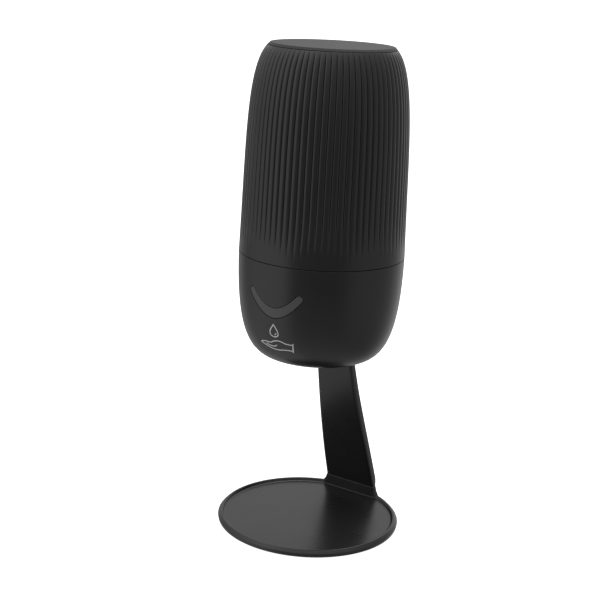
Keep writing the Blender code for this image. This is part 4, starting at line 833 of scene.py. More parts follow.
def settle(obj: Object, finish: Finish, body: Body, *nodes: str) -> Object:
    """Finishes a new piece: its finish, the body that it rides on and the nodes that it stands for."""
    finish.coat(obj)
    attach(obj, body.value)
    if nodes:
        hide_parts(*nodes)
    LOG.info("%s: %d faces, rides on %s", obj.name, len(obj.data.polygons), body.value)
    return obj


# --- Geometry node trees ---


class GeometryTree:
    """A geometry node tree with named inputs, run on an object and made part of its mesh."""

    def __init__(self, name: str, inputs: dict[str, str]) -> None:
        """Makes the tree with its geometry sockets, the named inputs and one for the material."""
        self.tree = bpy.data.node_groups.new(name, "GeometryNodeTree")
        self.tree.interface.new_socket("Geometry", in_out="OUTPUT", socket_type="NodeSocketGeometry")
        for label, kind in ({"Geometry": "Geometry"} | inputs | {"Finish": "Material"}).items():
            self.tree.interface.new_socket(label, in_out="INPUT", socket_type="NodeSocket" + kind)
        self.sheet = NodeSheet(self.tree)
        self.given = self.sheet.add("NodeGroupInput").outputs

    def end(self, geometry: NodeSocket) -> None:
        """Ends the tree in Realize Instances and Set Material."""
        real = self.sheet.add("GeometryNodeRealizeInstances", {0: geometry}).outputs[0]
        dressed = self.sheet.add("GeometryNodeSetMaterial", {
            "Geometry": real, "Material": self.given["Finish"]})
        self.sheet.add("NodeGroupOutput", {0: dressed.outputs[0]})

    def run_on(self, obj: Object, **values: object) -> Object:
        """Runs the tree on an object.

        Args:
            obj: the object whose mesh goes in.
            values: the inputs by name, with underscores for spaces.

        Returns:
            The object with the result as its plain mesh.
        """
        step = obj.modifiers.new(self.tree.name, "NODES")
        step.node_group = self.tree
        named = {item.name: item.identifier for item in self.tree.interface.items_tree
                 if getattr(item, "in_out", "") == "INPUT"}
        for key, value in values.items():
            step[named[key.replace("_", " ").title()]] = value
        return applied(obj)


# --- Pieces of the body ---


@dataclass
class Tank:
    """The reeded soap tank with its mouth, its spigot and its outlet."""

    wall: float = 0.0024
    edge: float = 0.14681
    underside: float = 0.1490
    floor: float = 0.1514
    shoulder: float = 0.2341
    mouth_low: float = 0.2401
    mouth_radius: float = 0.0270
    rim: float = 0.24868
    rim_round: float = 0.00014
    edge_round: float = 0.00014
    spigot_radius: float = 0.0394
    spigot_bore: float = 0.0370
    spigot_low: float = 0.1419
    groove_middle: float = 0.1444
    groove_height: float = 0.0018
    groove_depth: float = 0.0011
    reeds: int = 78
    reed_faces: int = 8
    reed_depth: float = 0.00065
    reed_foot: float = 0.1519
    reed_fade: float = 0.0240
    reed_runout: float = 0.0017
    reed_stop: float = 0.0012
    skin_reach: float = 2e-6
    skin_rows: int = 46
    inner_rows: int = 11
    corner_run: float = 0.001
    spout_place: Point = (0.0167, -0.0080)
    spout_radius: float = 0.0020
    spout_bore: float = 0.0012
    spout_length: float = 0.0060

    def angles(self) -> list[float]:
        """The angle of each column, crowded towards the grooves between the reeds."""
        shares = [(1 - math.cos(math.pi * k / self.reed_faces)) / 2 for k in range(self.reed_faces)]
        pitch = math.tau / self.reeds
        return [pitch * (reed + share) for reed in range(self.reeds) for share in shares]

    def profile(self) -> list[Point]:
        """The whole section, from the middle of the floor over the rim to the underside."""
        line = OUTLINE.tank_line()

        def skin(z: float, inset: float = 0.0) -> Point:
            """A point of the outer skin, or inside it."""
            return float(np.interp(z, line[:, 1], line[:, 0])) - inset, z

        inner_floor = skin(self.floor, 2 * self.wall)[0]
        points = [(r, self.floor) for r in (0.0, inner_floor / 2, inner_floor - self.corner_run, inner_floor)]
        inner_low = self.floor + self.wall
        points += [skin(inner_low + (self.shoulder - inner_low) * i / self.inner_rows, self.wall)
                   for i in range(self.inner_rows + 1)]
        below_rim = self.rim - 2 * self.corner_run
        points += rounded([(self.mouth_radius, self.mouth_low, 0.0),
                           (self.mouth_radius, self.rim, self.rim_round),
                           (*skin(self.rim), self.rim_round), (*skin(below_rim), 0.0)], steps=4)[:-1]
        low, high = self.edge + 2 * self.edge_round, self.rim - 3 * self.rim_round
        points += [skin(high + (low - high) * (i / self.skin_rows)) for i in range(self.skin_rows + 1)]
        points += rounded([(*skin(low), 0.0), (*skin(self.edge), self.edge_round),
                           (self.spigot_radius, self.edge, 0.0)], steps=4)[1:]
        groove_top, groove_foot = (self.groove_middle + s * self.groove_height / 2 for s in (1, -1))
        inner = self.spigot_radius - self.groove_depth
        return points + [
            (self.spigot_radius, groove_top), (inner, groove_top), (inner, groove_foot),
            (self.spigot_radius, groove_foot), (self.spigot_radius, self.spigot_low),
            (self.spigot_bore, self.spigot_low), (self.spigot_bore, self.underside),
            (self.spigot_bore / 2, self.underside), (0.0, self.underside)]

    def reed_tree(self) -> GeometryTree:
        """A tree that presses half-round reeds into the outer skin."""
        made = GeometryTree("reeds", dict.fromkeys(
            ("Reed Count", "Reed Depth", "Foot Height", "Fade Height", "Rim Height", "Runout", "Skin Inside"),
            "Float"))
        sheet, given = made.sheet, made.given
        maths, times = sheet.maths, sheet.times
        x, y, z = sheet.split(sheet.add("GeometryNodeInputPosition").outputs[0])
        radius = maths("SQRT", maths("ADD", times(x, x), times(y, y)))
        turn = maths("DIVIDE", maths("ARCTAN2", x, times(y, -1.0)), math.tau)
        whole_reeds = 200.0
        within = maths("FRACT", maths("MULTIPLY_ADD", turn, given["Reed Count"], whole_reeds))
        across = maths("MULTIPLY_ADD", within, 2.0, -1.0)
        rest = maths("SUBTRACT", 1.0, times(across, across), clamp=True)
        round_part = maths("SUBTRACT", 1.0, maths("SQRT", rest))

        def eased(first: NodeSocket, second: NodeSocket, length: NodeSocket) -> NodeSocket:
            """A soft start from 0 to 1 over a length, as first passes second."""
            share = maths("DIVIDE", maths("SUBTRACT", first, second), length, clamp=True)
            return maths("SINE", times(share, math.pi / 2))

        fade = eased(z, given["Foot Height"], given["Fade Height"])
        ending = eased(given["Rim Height"], z, given["Runout"])
        outside = maths("GREATER_THAN", radius, given["Skin Inside"])
        skin = sheet.add("GeometryNodeInputNamedAttribute", {"Name": "skin"}, data_type="FLOAT").outputs[0]
        inset = times(times(given["Reed Depth"], round_part), times(fade, ending))
        inset = times(inset, times(skin, outside))
        scale = maths("SUBTRACT", 1.0, maths("DIVIDE", inset, radius))
        moved = sheet.add("ShaderNodeCombineXYZ", {0: times(x, scale), 1: times(y, scale), 2: z})
        made.end(sheet.add("GeometryNodeSetPosition", {
            "Geometry": given["Geometry"], "Position": moved.outputs[0]}).outputs[0])
        return made

    def build(self) -> Object:
        """The tank in one piece."""
        tank = lathe("soap_tank", self.profile(), self.angles())
        x, y, z = values_of(tank.data.vertices, "co", 3, float).T
        line = OUTLINE.tank_line()
        on_skin = np.abs(np.hypot(x, y) - np.interp(z, line[:, 1], line[:, 0])) < self.skin_reach
        on_skin &= z > self.edge + self.edge_round
        skin = tank.data.attributes.new("skin", "FLOAT", "POINT")
        skin.data.foreach_set("value", on_skin.astype(np.float32))
        self.reed_tree().run_on(
            tank, reed_count=float(self.reeds), reed_depth=self.reed_depth, foot_height=self.reed_foot,
            fade_height=self.reed_fade, rim_height=self.rim - self.reed_stop, runout=self.reed_runout,
            skin_inside=self.mouth_radius + self.corner_run, finish=BLACK_PLASTIC.material())
        shade(tank, 48.0)
        return settle(tank, BLACK_PLASTIC, Body.DISPENSER, "tank")

    def build_spout(self) -> Object:
        """The short outlet tube under the floor."""
        low = self.underside - self.spout_length
        profile = rounded([(self.spout_radius, self.underside, 0.0), (self.spout_radius, low, 0.0003),
                           (self.spout_bore, low, 0.0002), (self.spout_bore, self.underside, 0.0)], steps=3)
        spout = lathe("tank_spout", profile, 32, ring=True, centre=self.spout_place)
        return settle(spout, BLACK_PLASTIC, Body.DISPENSER)


@dataclass
class TankFittings:
    """The strainer over the outlet, the seal round the spigot and the gasket on the lid."""

    place: Point = (0.0167, -0.0080)
    radius: float = 0.0052
    low: float = 0.1517
    height: float = 0.0030
    wall: float = 0.0009
    hole_radius: float = 0.0007
    hole_circle: float = 0.0029
    holes: int = 5
    seal_radius: float = 0.0390
    seal_height: float = 0.1444
    seal_wire: float = 0.0005
    gasket_radius: float = 0.0259
    gasket_height: float = 0.2454
    gasket_wire: float = 0.0008
    ring_faces: int = 128
    wire_faces: int = 14

    def build_strainer(self) -> Object:
        """A small cap with a ring of holes."""
        high = self.low + self.height
        inner = self.radius - self.wall
        cap = turned("strainer_cap", [
            (0.0, high, 0.0), (self.radius, high, self.wall), (self.radius, self.low, 0.0002),
            (inner, self.low, 0.0002), (inner, high - self.wall, 0.0003), (0.0, high - self.wall, 0.0)],
            64, centre=self.place)
        drills = []
        for i in range(self.holes):
            angle = math.tau * i / self.holes
            spot = (self.place[0] + self.hole_circle * math.cos(angle),
                    self.place[1] + self.hole_circle * math.sin(angle))
            drills.append(rod(f"drill_{i}", self.hole_radius, self.low + self.wall, high + self.wall, 20,
                              spot))
        changed_by(cap, drills, Joining.CUT)
        return settle(cap, WHITE_PLASTIC, Body.DISPENSER, "tank_strainer")

    def hoop(self, name: str, radius: float, wire: float, height: float) -> Object:
        """A round ring of round wire."""
        points = [(radius + wire * math.cos(a), height + wire * math.sin(a))
                  for a in (math.tau * i / self.wire_faces for i in range(self.wire_faces))]
        return lathe(name, points, self.ring_faces, ring=True, sharp=60.0)

    def build_rings(self) -> list[Object]:
        """The tank's seal and the lid's gasket."""
        seal = self.hoop("seal_ring", self.seal_radius, self.seal_wire, self.seal_height)
        gasket = self.hoop("gasket_ring", self.gasket_radius, self.gasket_wire, self.gasket_height)
        return [settle(seal, BLACK_RUBBER, Body.DISPENSER, "tank_seal"),
                settle(gasket, BLACK_RUBBER, Body.LID, "lid_gasket")]


@dataclass
class Lid:
    """The flat lid with the skirt that plugs the tank's mouth."""

    top: float = 0.2501
    edge: float = 0.24884
    edge_round: float = 0.00035
    edge_inset: float = 0.00002
    lower_round: float = 0.00009
    skirt: float = 0.0262
    skirt_low: float = 0.2418
    skirt_wall: float = 0.0024
    plate: float = 0.0020
    groove_middle: float = 0.2454
    groove_height: float = 0.0022
    groove_depth: float = 0.0014

    def build(self) -> Object:
        """The lid in one piece."""
        groove_top, groove_foot = (self.groove_middle + s * self.groove_height / 2 for s in (1, -1))
        groove = self.skirt - self.groove_depth
        inner, ceiling = self.skirt - self.skirt_wall, self.top - self.plate
        lid = turned("round_lid", [
            (0.0, self.top, 0.0), (OUTLINE.top_radius, self.top, self.edge_round),
            (OUTLINE.tank_radius(self.edge) - self.edge_inset, self.edge, self.lower_round),
            (self.skirt, self.edge, 0.0003), (self.skirt, groove_top, 0.0), (groove, groove_top, 0.0),
            (groove, groove_foot, 0.0), (self.skirt, groove_foot, 0.0), (self.skirt, self.skirt_low, 0.0004),
            (inner, self.skirt_low, 0.0003), (inner, ceiling, 0.0006), (0.0, ceiling, 0.0)], 256)
        return settle(lid, LID_PLASTIC, Body.LID, "tank_lid")


@dataclass
class Bowl:
    """The smooth lower shell with the openings for the key and the charging port."""

    wall: float = 0.0022
    rim: float = 0.14650
    rim_round: float = 0.00014
    opening: float = 0.0248
    gap: float = 0.0003
    rows: int = 64
    port_floor: float = 0.0388466
    hole_width: float = 0.0096
    hole_height: float = 0.0039
    hole_corner: float = 0.0014
    foot_start: float = 0.0002
    inner_start: float = 0.0004
    overrun: float = 0.002
    rim_slack: float = 1e-5
    same_way: float = 0.97

    def profile(self) -> list[Point]:
        """The shell's section as a closed loop."""
        line, fine = OUTLINE.bowl_line(self.rows), OUTLINE.bowl_line(FINE_POINTS)
        run = np.gradient(fine, axis=0)
        outer = [(float(r), float(z)) for r, z in line
                 if r > self.opening + self.foot_start and z < self.rim - 2 * self.rim_round]
        end = float(np.interp(-self.opening, -fine[:, 0], fine[:, 1]))
        inner = []
        for r, z in [*outer, (self.opening, end)]:
            k = int(np.argmin(np.hypot(fine[:, 0] - r, fine[:, 1] - z)))
            along = run[k] / np.hypot(*run[k])
            inner.append((r + along[1] * self.wall, z - along[0] * self.wall))
        inner = [p for p in inner if p[0] > self.opening + self.inner_start]
        top = rounded([(OUTLINE.radius - self.wall, self.rim, 0.0),
                       (OUTLINE.radius, self.rim, self.rim_round),
                       (outer[0][0], outer[0][1], 0.0)], steps=4)[:-1]
        foot = [(self.opening, end), (self.opening, inner[-1][1])]
        return [*top, *outer, *foot, *reversed(inner)]

    def true_normals(self, bowl: Object) -> None:
        """Sets the outer skin's normals from the outline, so that the openings leave no mark on it."""
        mesh = bowl.data
        corners = values_of(mesh.corner_normals, "vector", 3)
        index = values_of(mesh.loops, "vertex_index", kind=np.int32)
        x, y, z = values_of(mesh.vertices, "co", 3)[index].astype(float).T
        sizes = values_of(mesh.polygons, "loop_total", kind=np.int32)
        flat = np.repeat(values_of(mesh.polygons, "normal", 3), sizes, axis=0)
        radii = np.hypot(x, y)
        out, up = OUTLINE.bowl_normals(radii, z)
        wanted = np.stack([x / radii * out, y / radii * out, up], axis=1)
        fits = (wanted * flat).sum(axis=1) > self.same_way
        fits &= z < self.rim - 2 * self.rim_round + self.rim_slack
        corners[fits] = wanted[fits]
        mesh.normals_split_custom_set([tuple(float(v) for v in n) for n in corners])

    def build(self, key: "IndicatorKey", cover: "PortCover") -> Object:
        """The shell with its openings for the key at the front and the flap at the back."""
        bowl = lathe("smooth_bowl", self.profile(), 256, ring=True)
        outside, inside = OUTLINE.radius + self.overrun, OUTLINE.radius / 2
        recess = rounded_box(cover.width + 2 * self.gap, cover.height + 2 * self.gap, cover.corner,
                             cover.middle)
        hole = rounded_box(self.hole_width, self.hole_height, self.hole_corner, cover.middle)
        changed_by(bowl, [through_block("key_hole", key.outline(self.gap), -outside, -inside),
                          through_block("port_recess", recess, self.port_floor, outside),
                          through_block("port_hole", hole, inside, outside)], Joining.CUT)
        self.true_normals(bowl)
        return settle(bowl, BLACK_PLASTIC, Body.DISPENSER, "bowl_housing")


@dataclass
class IndicatorKey:
    """The smile-shaped key on the front, flush with the bowl."""

    half_span: float = 0.0138
    middle: float = 0.1227
    bend_length: float = 0.0215
    bend_slope: float = 2.2
    half_width: float = 0.0026
    tip_width: float = 0.0017
    edge_round: float = 0.00018
    flange_reach: float = 0.0010
    flange_depth: float = 0.0025
    flange_back: float = 0.0040
    stem_radius: float = 0.0016
    stem_length: float = 0.0012
    stem_root: float = 0.0005
    core_width: float = 0.0001
    face_insets: tuple[float, ...] = (0.0012, 0.0007, 0.0004)
    line_points: int = 22
    tip_points: int = 14

    def centre_line(self, x: float) -> float:
        """The height of the key's middle line."""
        return self.middle + self.bend_slope * (math.hypot(x, self.bend_length) - self.bend_length)

    def outline(self, grow: float) -> list[Point]:
        """The key's outline, made larger all round by grow."""
        lower, upper, tip = [], [], []
        lean = 0.0
        for i in range(self.line_points):
            share = i / (self.line_points - 1)
            x = self.half_span * share
            half = self.half_width * (1 - share) + self.tip_width * share + grow
            lean = math.atan(self.bend_slope * x / math.hypot(x, self.bend_length))
            z = self.centre_line(x)
            lower.append((x + half * math.sin(lean), z - half * math.cos(lean)))
            upper.append((x - half * math.sin(lean), z + half * math.cos(lean)))
        half = self.tip_width + grow
        for i in range(1, self.tip_points):
            angle = lean - math.pi / 2 + math.pi * i / self.tip_points
            tip.append((self.half_span + half * math.cos(angle),
                        self.centre_line(self.half_span) + half * math.sin(angle)))
        return mirrored(lower + tip + upper[::-1])

    def loop(self, grow: float, depth: float) -> list[Place]:
        """The outline laid on the bowl's surface at a depth below it."""
        return [OUTLINE.on_bowl(x, z, -depth) for x, z in self.outline(grow)]

    def build(self) -> Object:
        """The key with its flange and its stem."""
        core = -self.tip_width + self.core_width
        insets = [(core, 0.0), *((-s, 0.0) for s in self.face_insets), (-2 * self.edge_round, 0.0),
                  *edge_steps(self.edge_round), (0.0, 2 * self.edge_round), (0.0, self.flange_depth),
                  (self.flange_reach, self.flange_depth), (self.flange_reach, self.flange_back),
                  (0.0, self.flange_back), (core, self.flange_back)]
        key = loft("grey_key", [self.loop(grow, depth) for grow, depth in insets], sharp=40.0)
        back = OUTLINE.bowl_radius(self.middle) - self.flange_back
        stem = turned("key_stem", [(0.0, self.stem_root, 0.0), (self.stem_radius, self.stem_root, 0.0),
                                   (self.stem_radius, -self.stem_length, 0.0003),
                                   (0.0, -self.stem_length, 0.0)], 32)
        place = Matrix.Translation((0.0, -back, self.middle))
        stem.data.transform(place @ Matrix.Rotation(math.pi / 2, 4, "X"))
        changed_by(key, [stem], Joining.ADD, 40.0)
        return settle(key, KEY_PLASTIC, Body.KEY, "indicator_key")


@dataclass
class PortCover:
    """The soft flap over the charging port, flush with the back of the bowl."""

    width: float = 0.0148
    height: float = 0.0084
    corner: float = 0.0026
    middle: float = 0.1210
    floor: float = 0.0391466
    edge_round: float = 0.00020
    plug_width: float = 0.0082
    plug_height: float = 0.0026
    plug_reach: float = 0.0012
    gap: float = 0.0003
    face_insets: tuple[float, ...] = (0.0041, 0.0036, 0.0030, 0.0024, 0.0018, 0.0012, 0.0007)

    def face_loop(self, grow: float, depth: float) -> list[Place]:
        """The flap's outline laid on the bowl's surface at a depth below it."""
        outline = rounded_box(self.width + 2 * grow, self.height + 2 * grow, self.corner - self.gap + grow,
                              self.middle)
        return [OUTLINE.on_bowl(x, z, -depth, 1) for x, z in outline]

    def flat_loop(self, width: float, height: float, corner: float, y: float) -> list[Place]:
        """A flat outline at a distance from the axis."""
        return [(x, y, z) for x, z in rounded_box(width, height, corner, self.middle)]

    def build(self) -> Object:
        """The flap with the plug on its back."""
        edge = self.edge_round
        loops = [self.face_loop(-s, 0.0) for s in (*self.face_insets, 2 * edge)]
        loops += [self.face_loop(grow, depth) for grow, depth in edge_steps(edge)]
        plug = (self.plug_width, self.plug_height, self.plug_height / 3)
        small = (self.plug_width - 2 * edge, self.plug_height - 2 * edge, self.plug_height / 4)
        loops += [self.flat_loop(self.width, self.height, self.corner - self.gap, self.floor),
                  self.flat_loop(*plug, self.floor),
                  self.flat_loop(*plug, self.floor - self.plug_reach + edge),
                  self.flat_loop(*small, self.floor - self.plug_reach)]
        flap = loft("port_flap", loops, sharp=40.0)
        return settle(flap, BLACK_RUBBER, Body.PORT_COVER, "port_cover")


@dataclass
class Pictogram:
    """The printed sign under the key: a drop over an open hand, drawn for this part."""

    width: float = 0.00050
    proud: float = 0.00002
    sunk: float = 0.00004
    drop_middle: float = 0.11355
    drop_half_height: float = 0.00335
    drop_reach: float = 0.00345
    drop_points: int = 64
    gleam_radius: float = 0.00125
    gleam_middle: float = 0.1126
    gleam_degrees: range = range(15, 80, 8)
    hand: tuple[Point, ...] = ((-0.0096, 0.1055), (-0.0063, 0.1065), (-0.0028, 0.1066), (-0.0004, 0.1078),
                               (0.0028, 0.1083), (0.0060, 0.1074), (0.0094, 0.1072))
    palm: tuple[Point, ...] = ((-0.0096, 0.1055), (-0.0060, 0.1042), (-0.0022, 0.1033), (0.0016, 0.1032),
                               (0.0050, 0.1038), (0.0091, 0.1040))
    thumb: tuple[Point, ...] = ((-0.0060, 0.1055), (-0.0034, 0.1048), (-0.0006, 0.1049), (0.0010, 0.1058))
    cuff: tuple[Point, ...] = ((0.0099, 0.1081), (0.0096, 0.1056), (0.0093, 0.1031))

    def drop(self) -> list[Point]:
        """The outline of the drop."""
        turns = [math.tau * i / self.drop_points for i in range(self.drop_points)]
        return [(self.drop_reach * math.sin(turn) * math.sin(turn / 2) ** 1.5,
                 self.drop_middle + self.drop_half_height * math.cos(turn)) for turn in turns]

    def strokes(self) -> list[tuple[list[Point], bool]]:
        """Every stroke with whether it is closed."""
        gleam = [(self.gleam_radius * math.sin(a), self.gleam_middle - self.gleam_radius * math.cos(a))
                 for a in (math.radians(d) for d in self.gleam_degrees)]
        return [(self.drop(), True), (gleam, False),
                *((smooth_line(line), False) for line in (self.hand, self.palm, self.thumb, self.cuff))]

    def ribbon(self, line: list[Point], closed: bool, places: list, faces: list) -> None:
        """Adds one stroke as a thin closed band on the bowl.

        Args:
            line: the middle of the stroke.
            closed: whether it ends where it starts.
            places: the points so far, which grow.
            faces: the faces so far, which grow.
        """
        count = len(line)
        rows = []
        for i, (x, z) in enumerate(line):
            before = line[i - 1] if closed or i else line[i]
            after = line[(i + 1) % count] if closed or i < count - 1 else line[i]
            along = Vector((after[0] - before[0], after[1] - before[1])).normalized()
            side = Vector((-along.y, along.x)) * (self.width / 2)
            rows.append(list(range(len(places), len(places) + 4)))
            for sign, lift in ((1, self.proud), (-1, self.proud), (-1, -self.sunk), (1, -self.sunk)):
                places.append(OUTLINE.on_bowl(x + sign * side.x, z + sign * side.y, lift))
        if not closed:
            faces.extend([tuple(rows[0]), tuple(reversed(rows[-1]))])
        for low, high in zip(rows, rows[1:] + (rows[:1] if closed else [])):
            faces.extend((low[i], low[i - 3], high[i - 3], high[i]) for i in range(4))

    def build(self) -> Object:
        """All strokes in one piece."""
        places: list = []
        faces: list = []
        for line, closed in self.strokes():
            self.ribbon(line, closed, places, faces)
        sign = mesh_piece("drop_and_hand_sign", places, faces, 60.0)
        return settle(sign, PRINTED_INK, Body.DISPENSER)


# --- Underside and stand ---


@dataclass
class Underside:
    """The bottom cover with its nozzle and its sensor window."""

    radius: float = 0.0245
    low: float = 0.0929
    high: float = 0.0947
    edge_round: float = 0.0003
    nozzle_place: Point = (0.0, -0.0080)
    nozzle_radius: float = 0.0039
    nozzle_bore: float = 0.0027
    nozzle_low: float = 0.0923
    nozzle_high: float = 0.1002
    window_y: float = -0.0183
    window_width: float = 0.0100
    window_depth: float = 0.0040
    window_corner: float = 0.0010
    window_low: float = 0.0931
    window_edge: float = 0.0002
    slot_y: float = 0.0174
    slot_width: float = 0.0158
    slot_depth: float = 0.0038
    slot_corner: float = 0.0010
    screw_x: float = 0.0102
    screw_head: float = 0.00065
    sink_radius: float = 0.0026
    hole_radius: float = 0.0014
    overrun: float = 0.002
    gap: float = 0.0003

    def build_cover(self) -> Object:
        """The round cover with its openings."""
        cover = turned("round_bottom_cover", [
            (0.0, self.high, 0.0), (self.radius, self.high, 0.0002), (self.radius, self.low, self.edge_round),
            (0.0, self.low, 0.0)], 160)
        below, above = self.low - self.overrun, self.high + self.overrun
        window = rounded_box(self.window_width + 2 * self.gap, self.window_depth + 2 * self.gap,
                             self.window_corner)
        slot = rounded_box(self.slot_width, self.slot_depth, self.slot_corner)
        cutters = [rod("nozzle_hole", self.nozzle_radius + self.gap, below, above, 64, self.nozzle_place),
                   upright_block("window_hole", window, below, above, (0.0, self.window_y)),
                   upright_block("tongue_hole", slot, below, above, (0.0, self.slot_y))]
        sink = self.low + self.screw_head + self.gap
        for side in (-1, 1):
            cutters.append(lathe(f"screw_hole_{side}", [
                (0.0, below), (self.sink_radius, below), (self.sink_radius, sink), (self.hole_radius, sink),
                (self.hole_radius, above), (0.0, above)], 40, centre=(side * self.screw_x, self.slot_y)))
        changed_by(cover, cutters, Joining.CUT)
        return settle(cover, BLACK_PLASTIC, Body.DISPENSER, "bottom_cover")

    def build_nozzle(self) -> Object:
        """The soft ring that the foam comes out of."""
        outer, bore = self.nozzle_radius, self.nozzle_bore
        corners = [(outer, self.nozzle_high, 0.0002), (outer, self.nozzle_low, 0.0004),
                   (bore, self.nozzle_low, 0.0003), (bore, self.nozzle_high, 0.0002)]
        nozzle = lathe("foam_nozzle", rounded(corners, closed=True), 72, ring=True, centre=self.nozzle_place)
        return settle(nozzle, BLACK_RUBBER, Body.DISPENSER, "nozzle")

    def build_window(self) -> Object:
        """The dark window in front of the sensor."""
        edge, low = self.window_edge, self.window_low
        loops = []
        for inset, z in ((edge * 3, low), (edge, low), (edge * 0.3, low + edge * 0.3), (0.0, low + edge),
                         (0.0, self.high)):
            outline = rounded_box(self.window_width - 2 * inset, self.window_depth - 2 * inset,
                                  self.window_corner - inset / 2)
            loops.append([(x, self.window_y + y, z) for x, y in outline])
        window = loft("dark_sensor_window", loops, zipped=False)
        return settle(window, DARK_WINDOW, Body.DISPENSER, "sensor_window")


@dataclass
class Stand:
    """The round tray and the leaning column, one casting."""

    tray_radius: float = 0.0480
    tray_height: float = 0.0038
    widest: float = 0.0021
    floor: float = 0.0023
    lip: float = 0.0034
    lip_inner: float = 0.0027
    lip_outer: float = 0.0016
    rim_inset: float = 0.0013
    foot_inset: float = 0.0004
    recess_radius: float = 0.0443
    recess_top: float = 0.0013
    foot: float = 0.0005
    foot_drop: float = 0.0002
    columns: int = 288
    root_lift: float = 0.0003
    base: Point = (0.0434, 0.0023)
    top: Point = (0.0154, 0.0926)
    lean: tuple[Point, Point] = ((0.4786, 0.4175), (0.8214, 0.7231))
    widths: tuple[float, float, float, float] = (0.0310, 0.0296, 0.0221, 0.0212)
    thickness: float = 0.0052
    corner: float = 0.0014
    fillet: float = 0.0057
    crease: float = math.radians(12.0)
    side_share: float = 0.90
    corner_share: float = 0.5
    fillet_start: float = 0.0035
    ledge: float = 0.00022
    floor_round: float = 0.0003
    tongue_width: float = 0.0150
    tongue_thickness: float = 0.0030
    tongue_length: float = 0.0165
    tongue_lead: float = 0.0010
    tongue_middle: float = 0.0174
    tongue_flat: float = 0.0003
    limit_heights: Point = (-0.01, 0.2)
    rings: int = 40
    fillet_rings: int = 16

    def tray(self) -> Object:
        """The tray with its rounded lip and the recess for the foot pad."""
        edge = self.tray_radius
        return turned("tray_and_column", [
            (0.0, self.floor, 0.0), (edge - self.lip, self.floor, 0.0010),
            (edge - self.lip_inner, self.tray_height, 0.0004),
            (edge - self.lip_outer, self.tray_height, 0.0006), (edge, self.widest, 0.0008),
            (edge - self.foot_inset, self.foot - self.foot_drop, 0.0003),
            (self.recess_radius, self.foot, 0.0001), (self.recess_radius, self.recess_top, 0.0),
            (0.0, self.recess_top, 0.0)], self.columns, steps=4)

    def section(self, share: float) -> Place:
        """Width, front face and height of the column at a share of its rise."""
        knots = [[b + (t - b) * a for b, t, a in zip(self.base, self.top, lean)] for lean in self.lean]
        weights = ((1 - share) ** 3, 3 * (1 - share) ** 2 * share, 3 * (1 - share) * share**2, share**3)
        fronts, heights = zip(self.base, *knots, self.top)
        return tuple(sum(w * v for w, v in zip(weights, values)) for values in (self.widths, fronts, heights))

    def ring(self, width: float, depth: float, front: float, height: float, front_corner: float,
             back_corner: float) -> list[Place]:
        """A rounded rectangle round the column at one height."""
        half = width / 2
        outline = rounded([(half, front, front_corner), (half, front + depth, back_corner),
                           (-half, front + depth, back_corner), (-half, front, front_corner)],
                          closed=True, steps=6)
        return [(x, y, height) for x, y in outline]

    def spread(self, rise: float) -> float:
        """How far the sides of the foot reach out at a height above the tray's floor."""
        turn = math.pi / 2 - self.crease
        radius = self.fillet / (1 - math.cos(turn))
        drop = radius - min(rise, self.fillet)
        return radius * math.sin(turn) - math.sqrt(max(radius**2 - drop**2, 0.0))

    def foot_rows(self) -> list[Place]:
        """Rise above the floor, front reach and side reach of each ring of the foot, from the floor up."""
        rows = []
        lowest = self.fillet * self.fillet_start
        for i in range(self.fillet_rings + 1):
            rise = lowest + (self.fillet - lowest) * (i / self.fillet_rings) ** 2
            drop = self.floor_round - min(rise, self.floor_round)
            front = self.floor_round - math.sqrt(self.floor_round**2 - drop**2)
            rows.append((rise, self.ledge + front, self.ledge + self.side_share * self.spread(rise)))
        for degrees in (30, 60, 90):
            turn = math.radians(degrees)
            reach = self.ledge * math.cos(turn)
            rows.append((self.fillet + self.ledge * math.sin(turn), reach, reach))
        return rows

    def column(self) -> Object:
        """The leaning blade with its upright foot, its shoulder and its tongue."""
        shares = np.linspace(0.0, 1.0, 200)
        heights = [self.section(float(s))[2] for s in shares]
        foot_share = float(np.interp(self.floor + self.fillet + self.ledge, heights, shares))
        foot_front = self.section(foot_share)[1]
        loops = []
        rows = self.foot_rows()
        root = (self.recess_top + self.root_lift - self.floor, *rows[0][1:])
        for rise, front_reach, side_reach in (root, *rows):
            share = float(np.interp(self.floor + rise, heights, shares))
            width, front, _ = self.section(share)
            near = foot_front - front_reach
            loops.append(self.ring(width + 2 * side_reach, front + self.thickness - near, near,
                                   self.floor + rise, self.corner + self.corner_share * side_reach,
                                   self.corner))
        for i in range(1, self.rings + 1):
            width, front, height = self.section(foot_share + (1 - foot_share) * i / self.rings)
            loops.append(self.ring(width, self.thickness, front, height, self.corner, self.corner))
        edge = self.tongue_thickness / 2 - self.tongue_flat
        front = self.tongue_middle - self.tongue_thickness / 2
        top = self.top[1] + self.tongue_length
        for inset, z in ((0.0, self.top[1]), (0.0, top - self.tongue_lead), (self.tongue_lead, top)):
            loops.append(self.ring(self.tongue_width - inset, self.tongue_thickness - inset / 2,
                                   front + inset / 4, z, edge - inset / 4, edge - inset / 4))
        column = loft("column", loops, zipped=False)
        limit = rod("column_limit", self.tray_radius - self.rim_inset, *self.limit_heights, self.columns)
        return changed_by(column, [limit], Joining.KEEP_INSIDE)

    def build(self) -> Object:
        """Tray and column, the foot of the column sunk into the tray so that no seam shows."""
        stand = gathered(self.tray(), self.column())
        shade(stand, 32.0)
        return settle(stand, BLACK_COAT, Body.STAND, "stand")


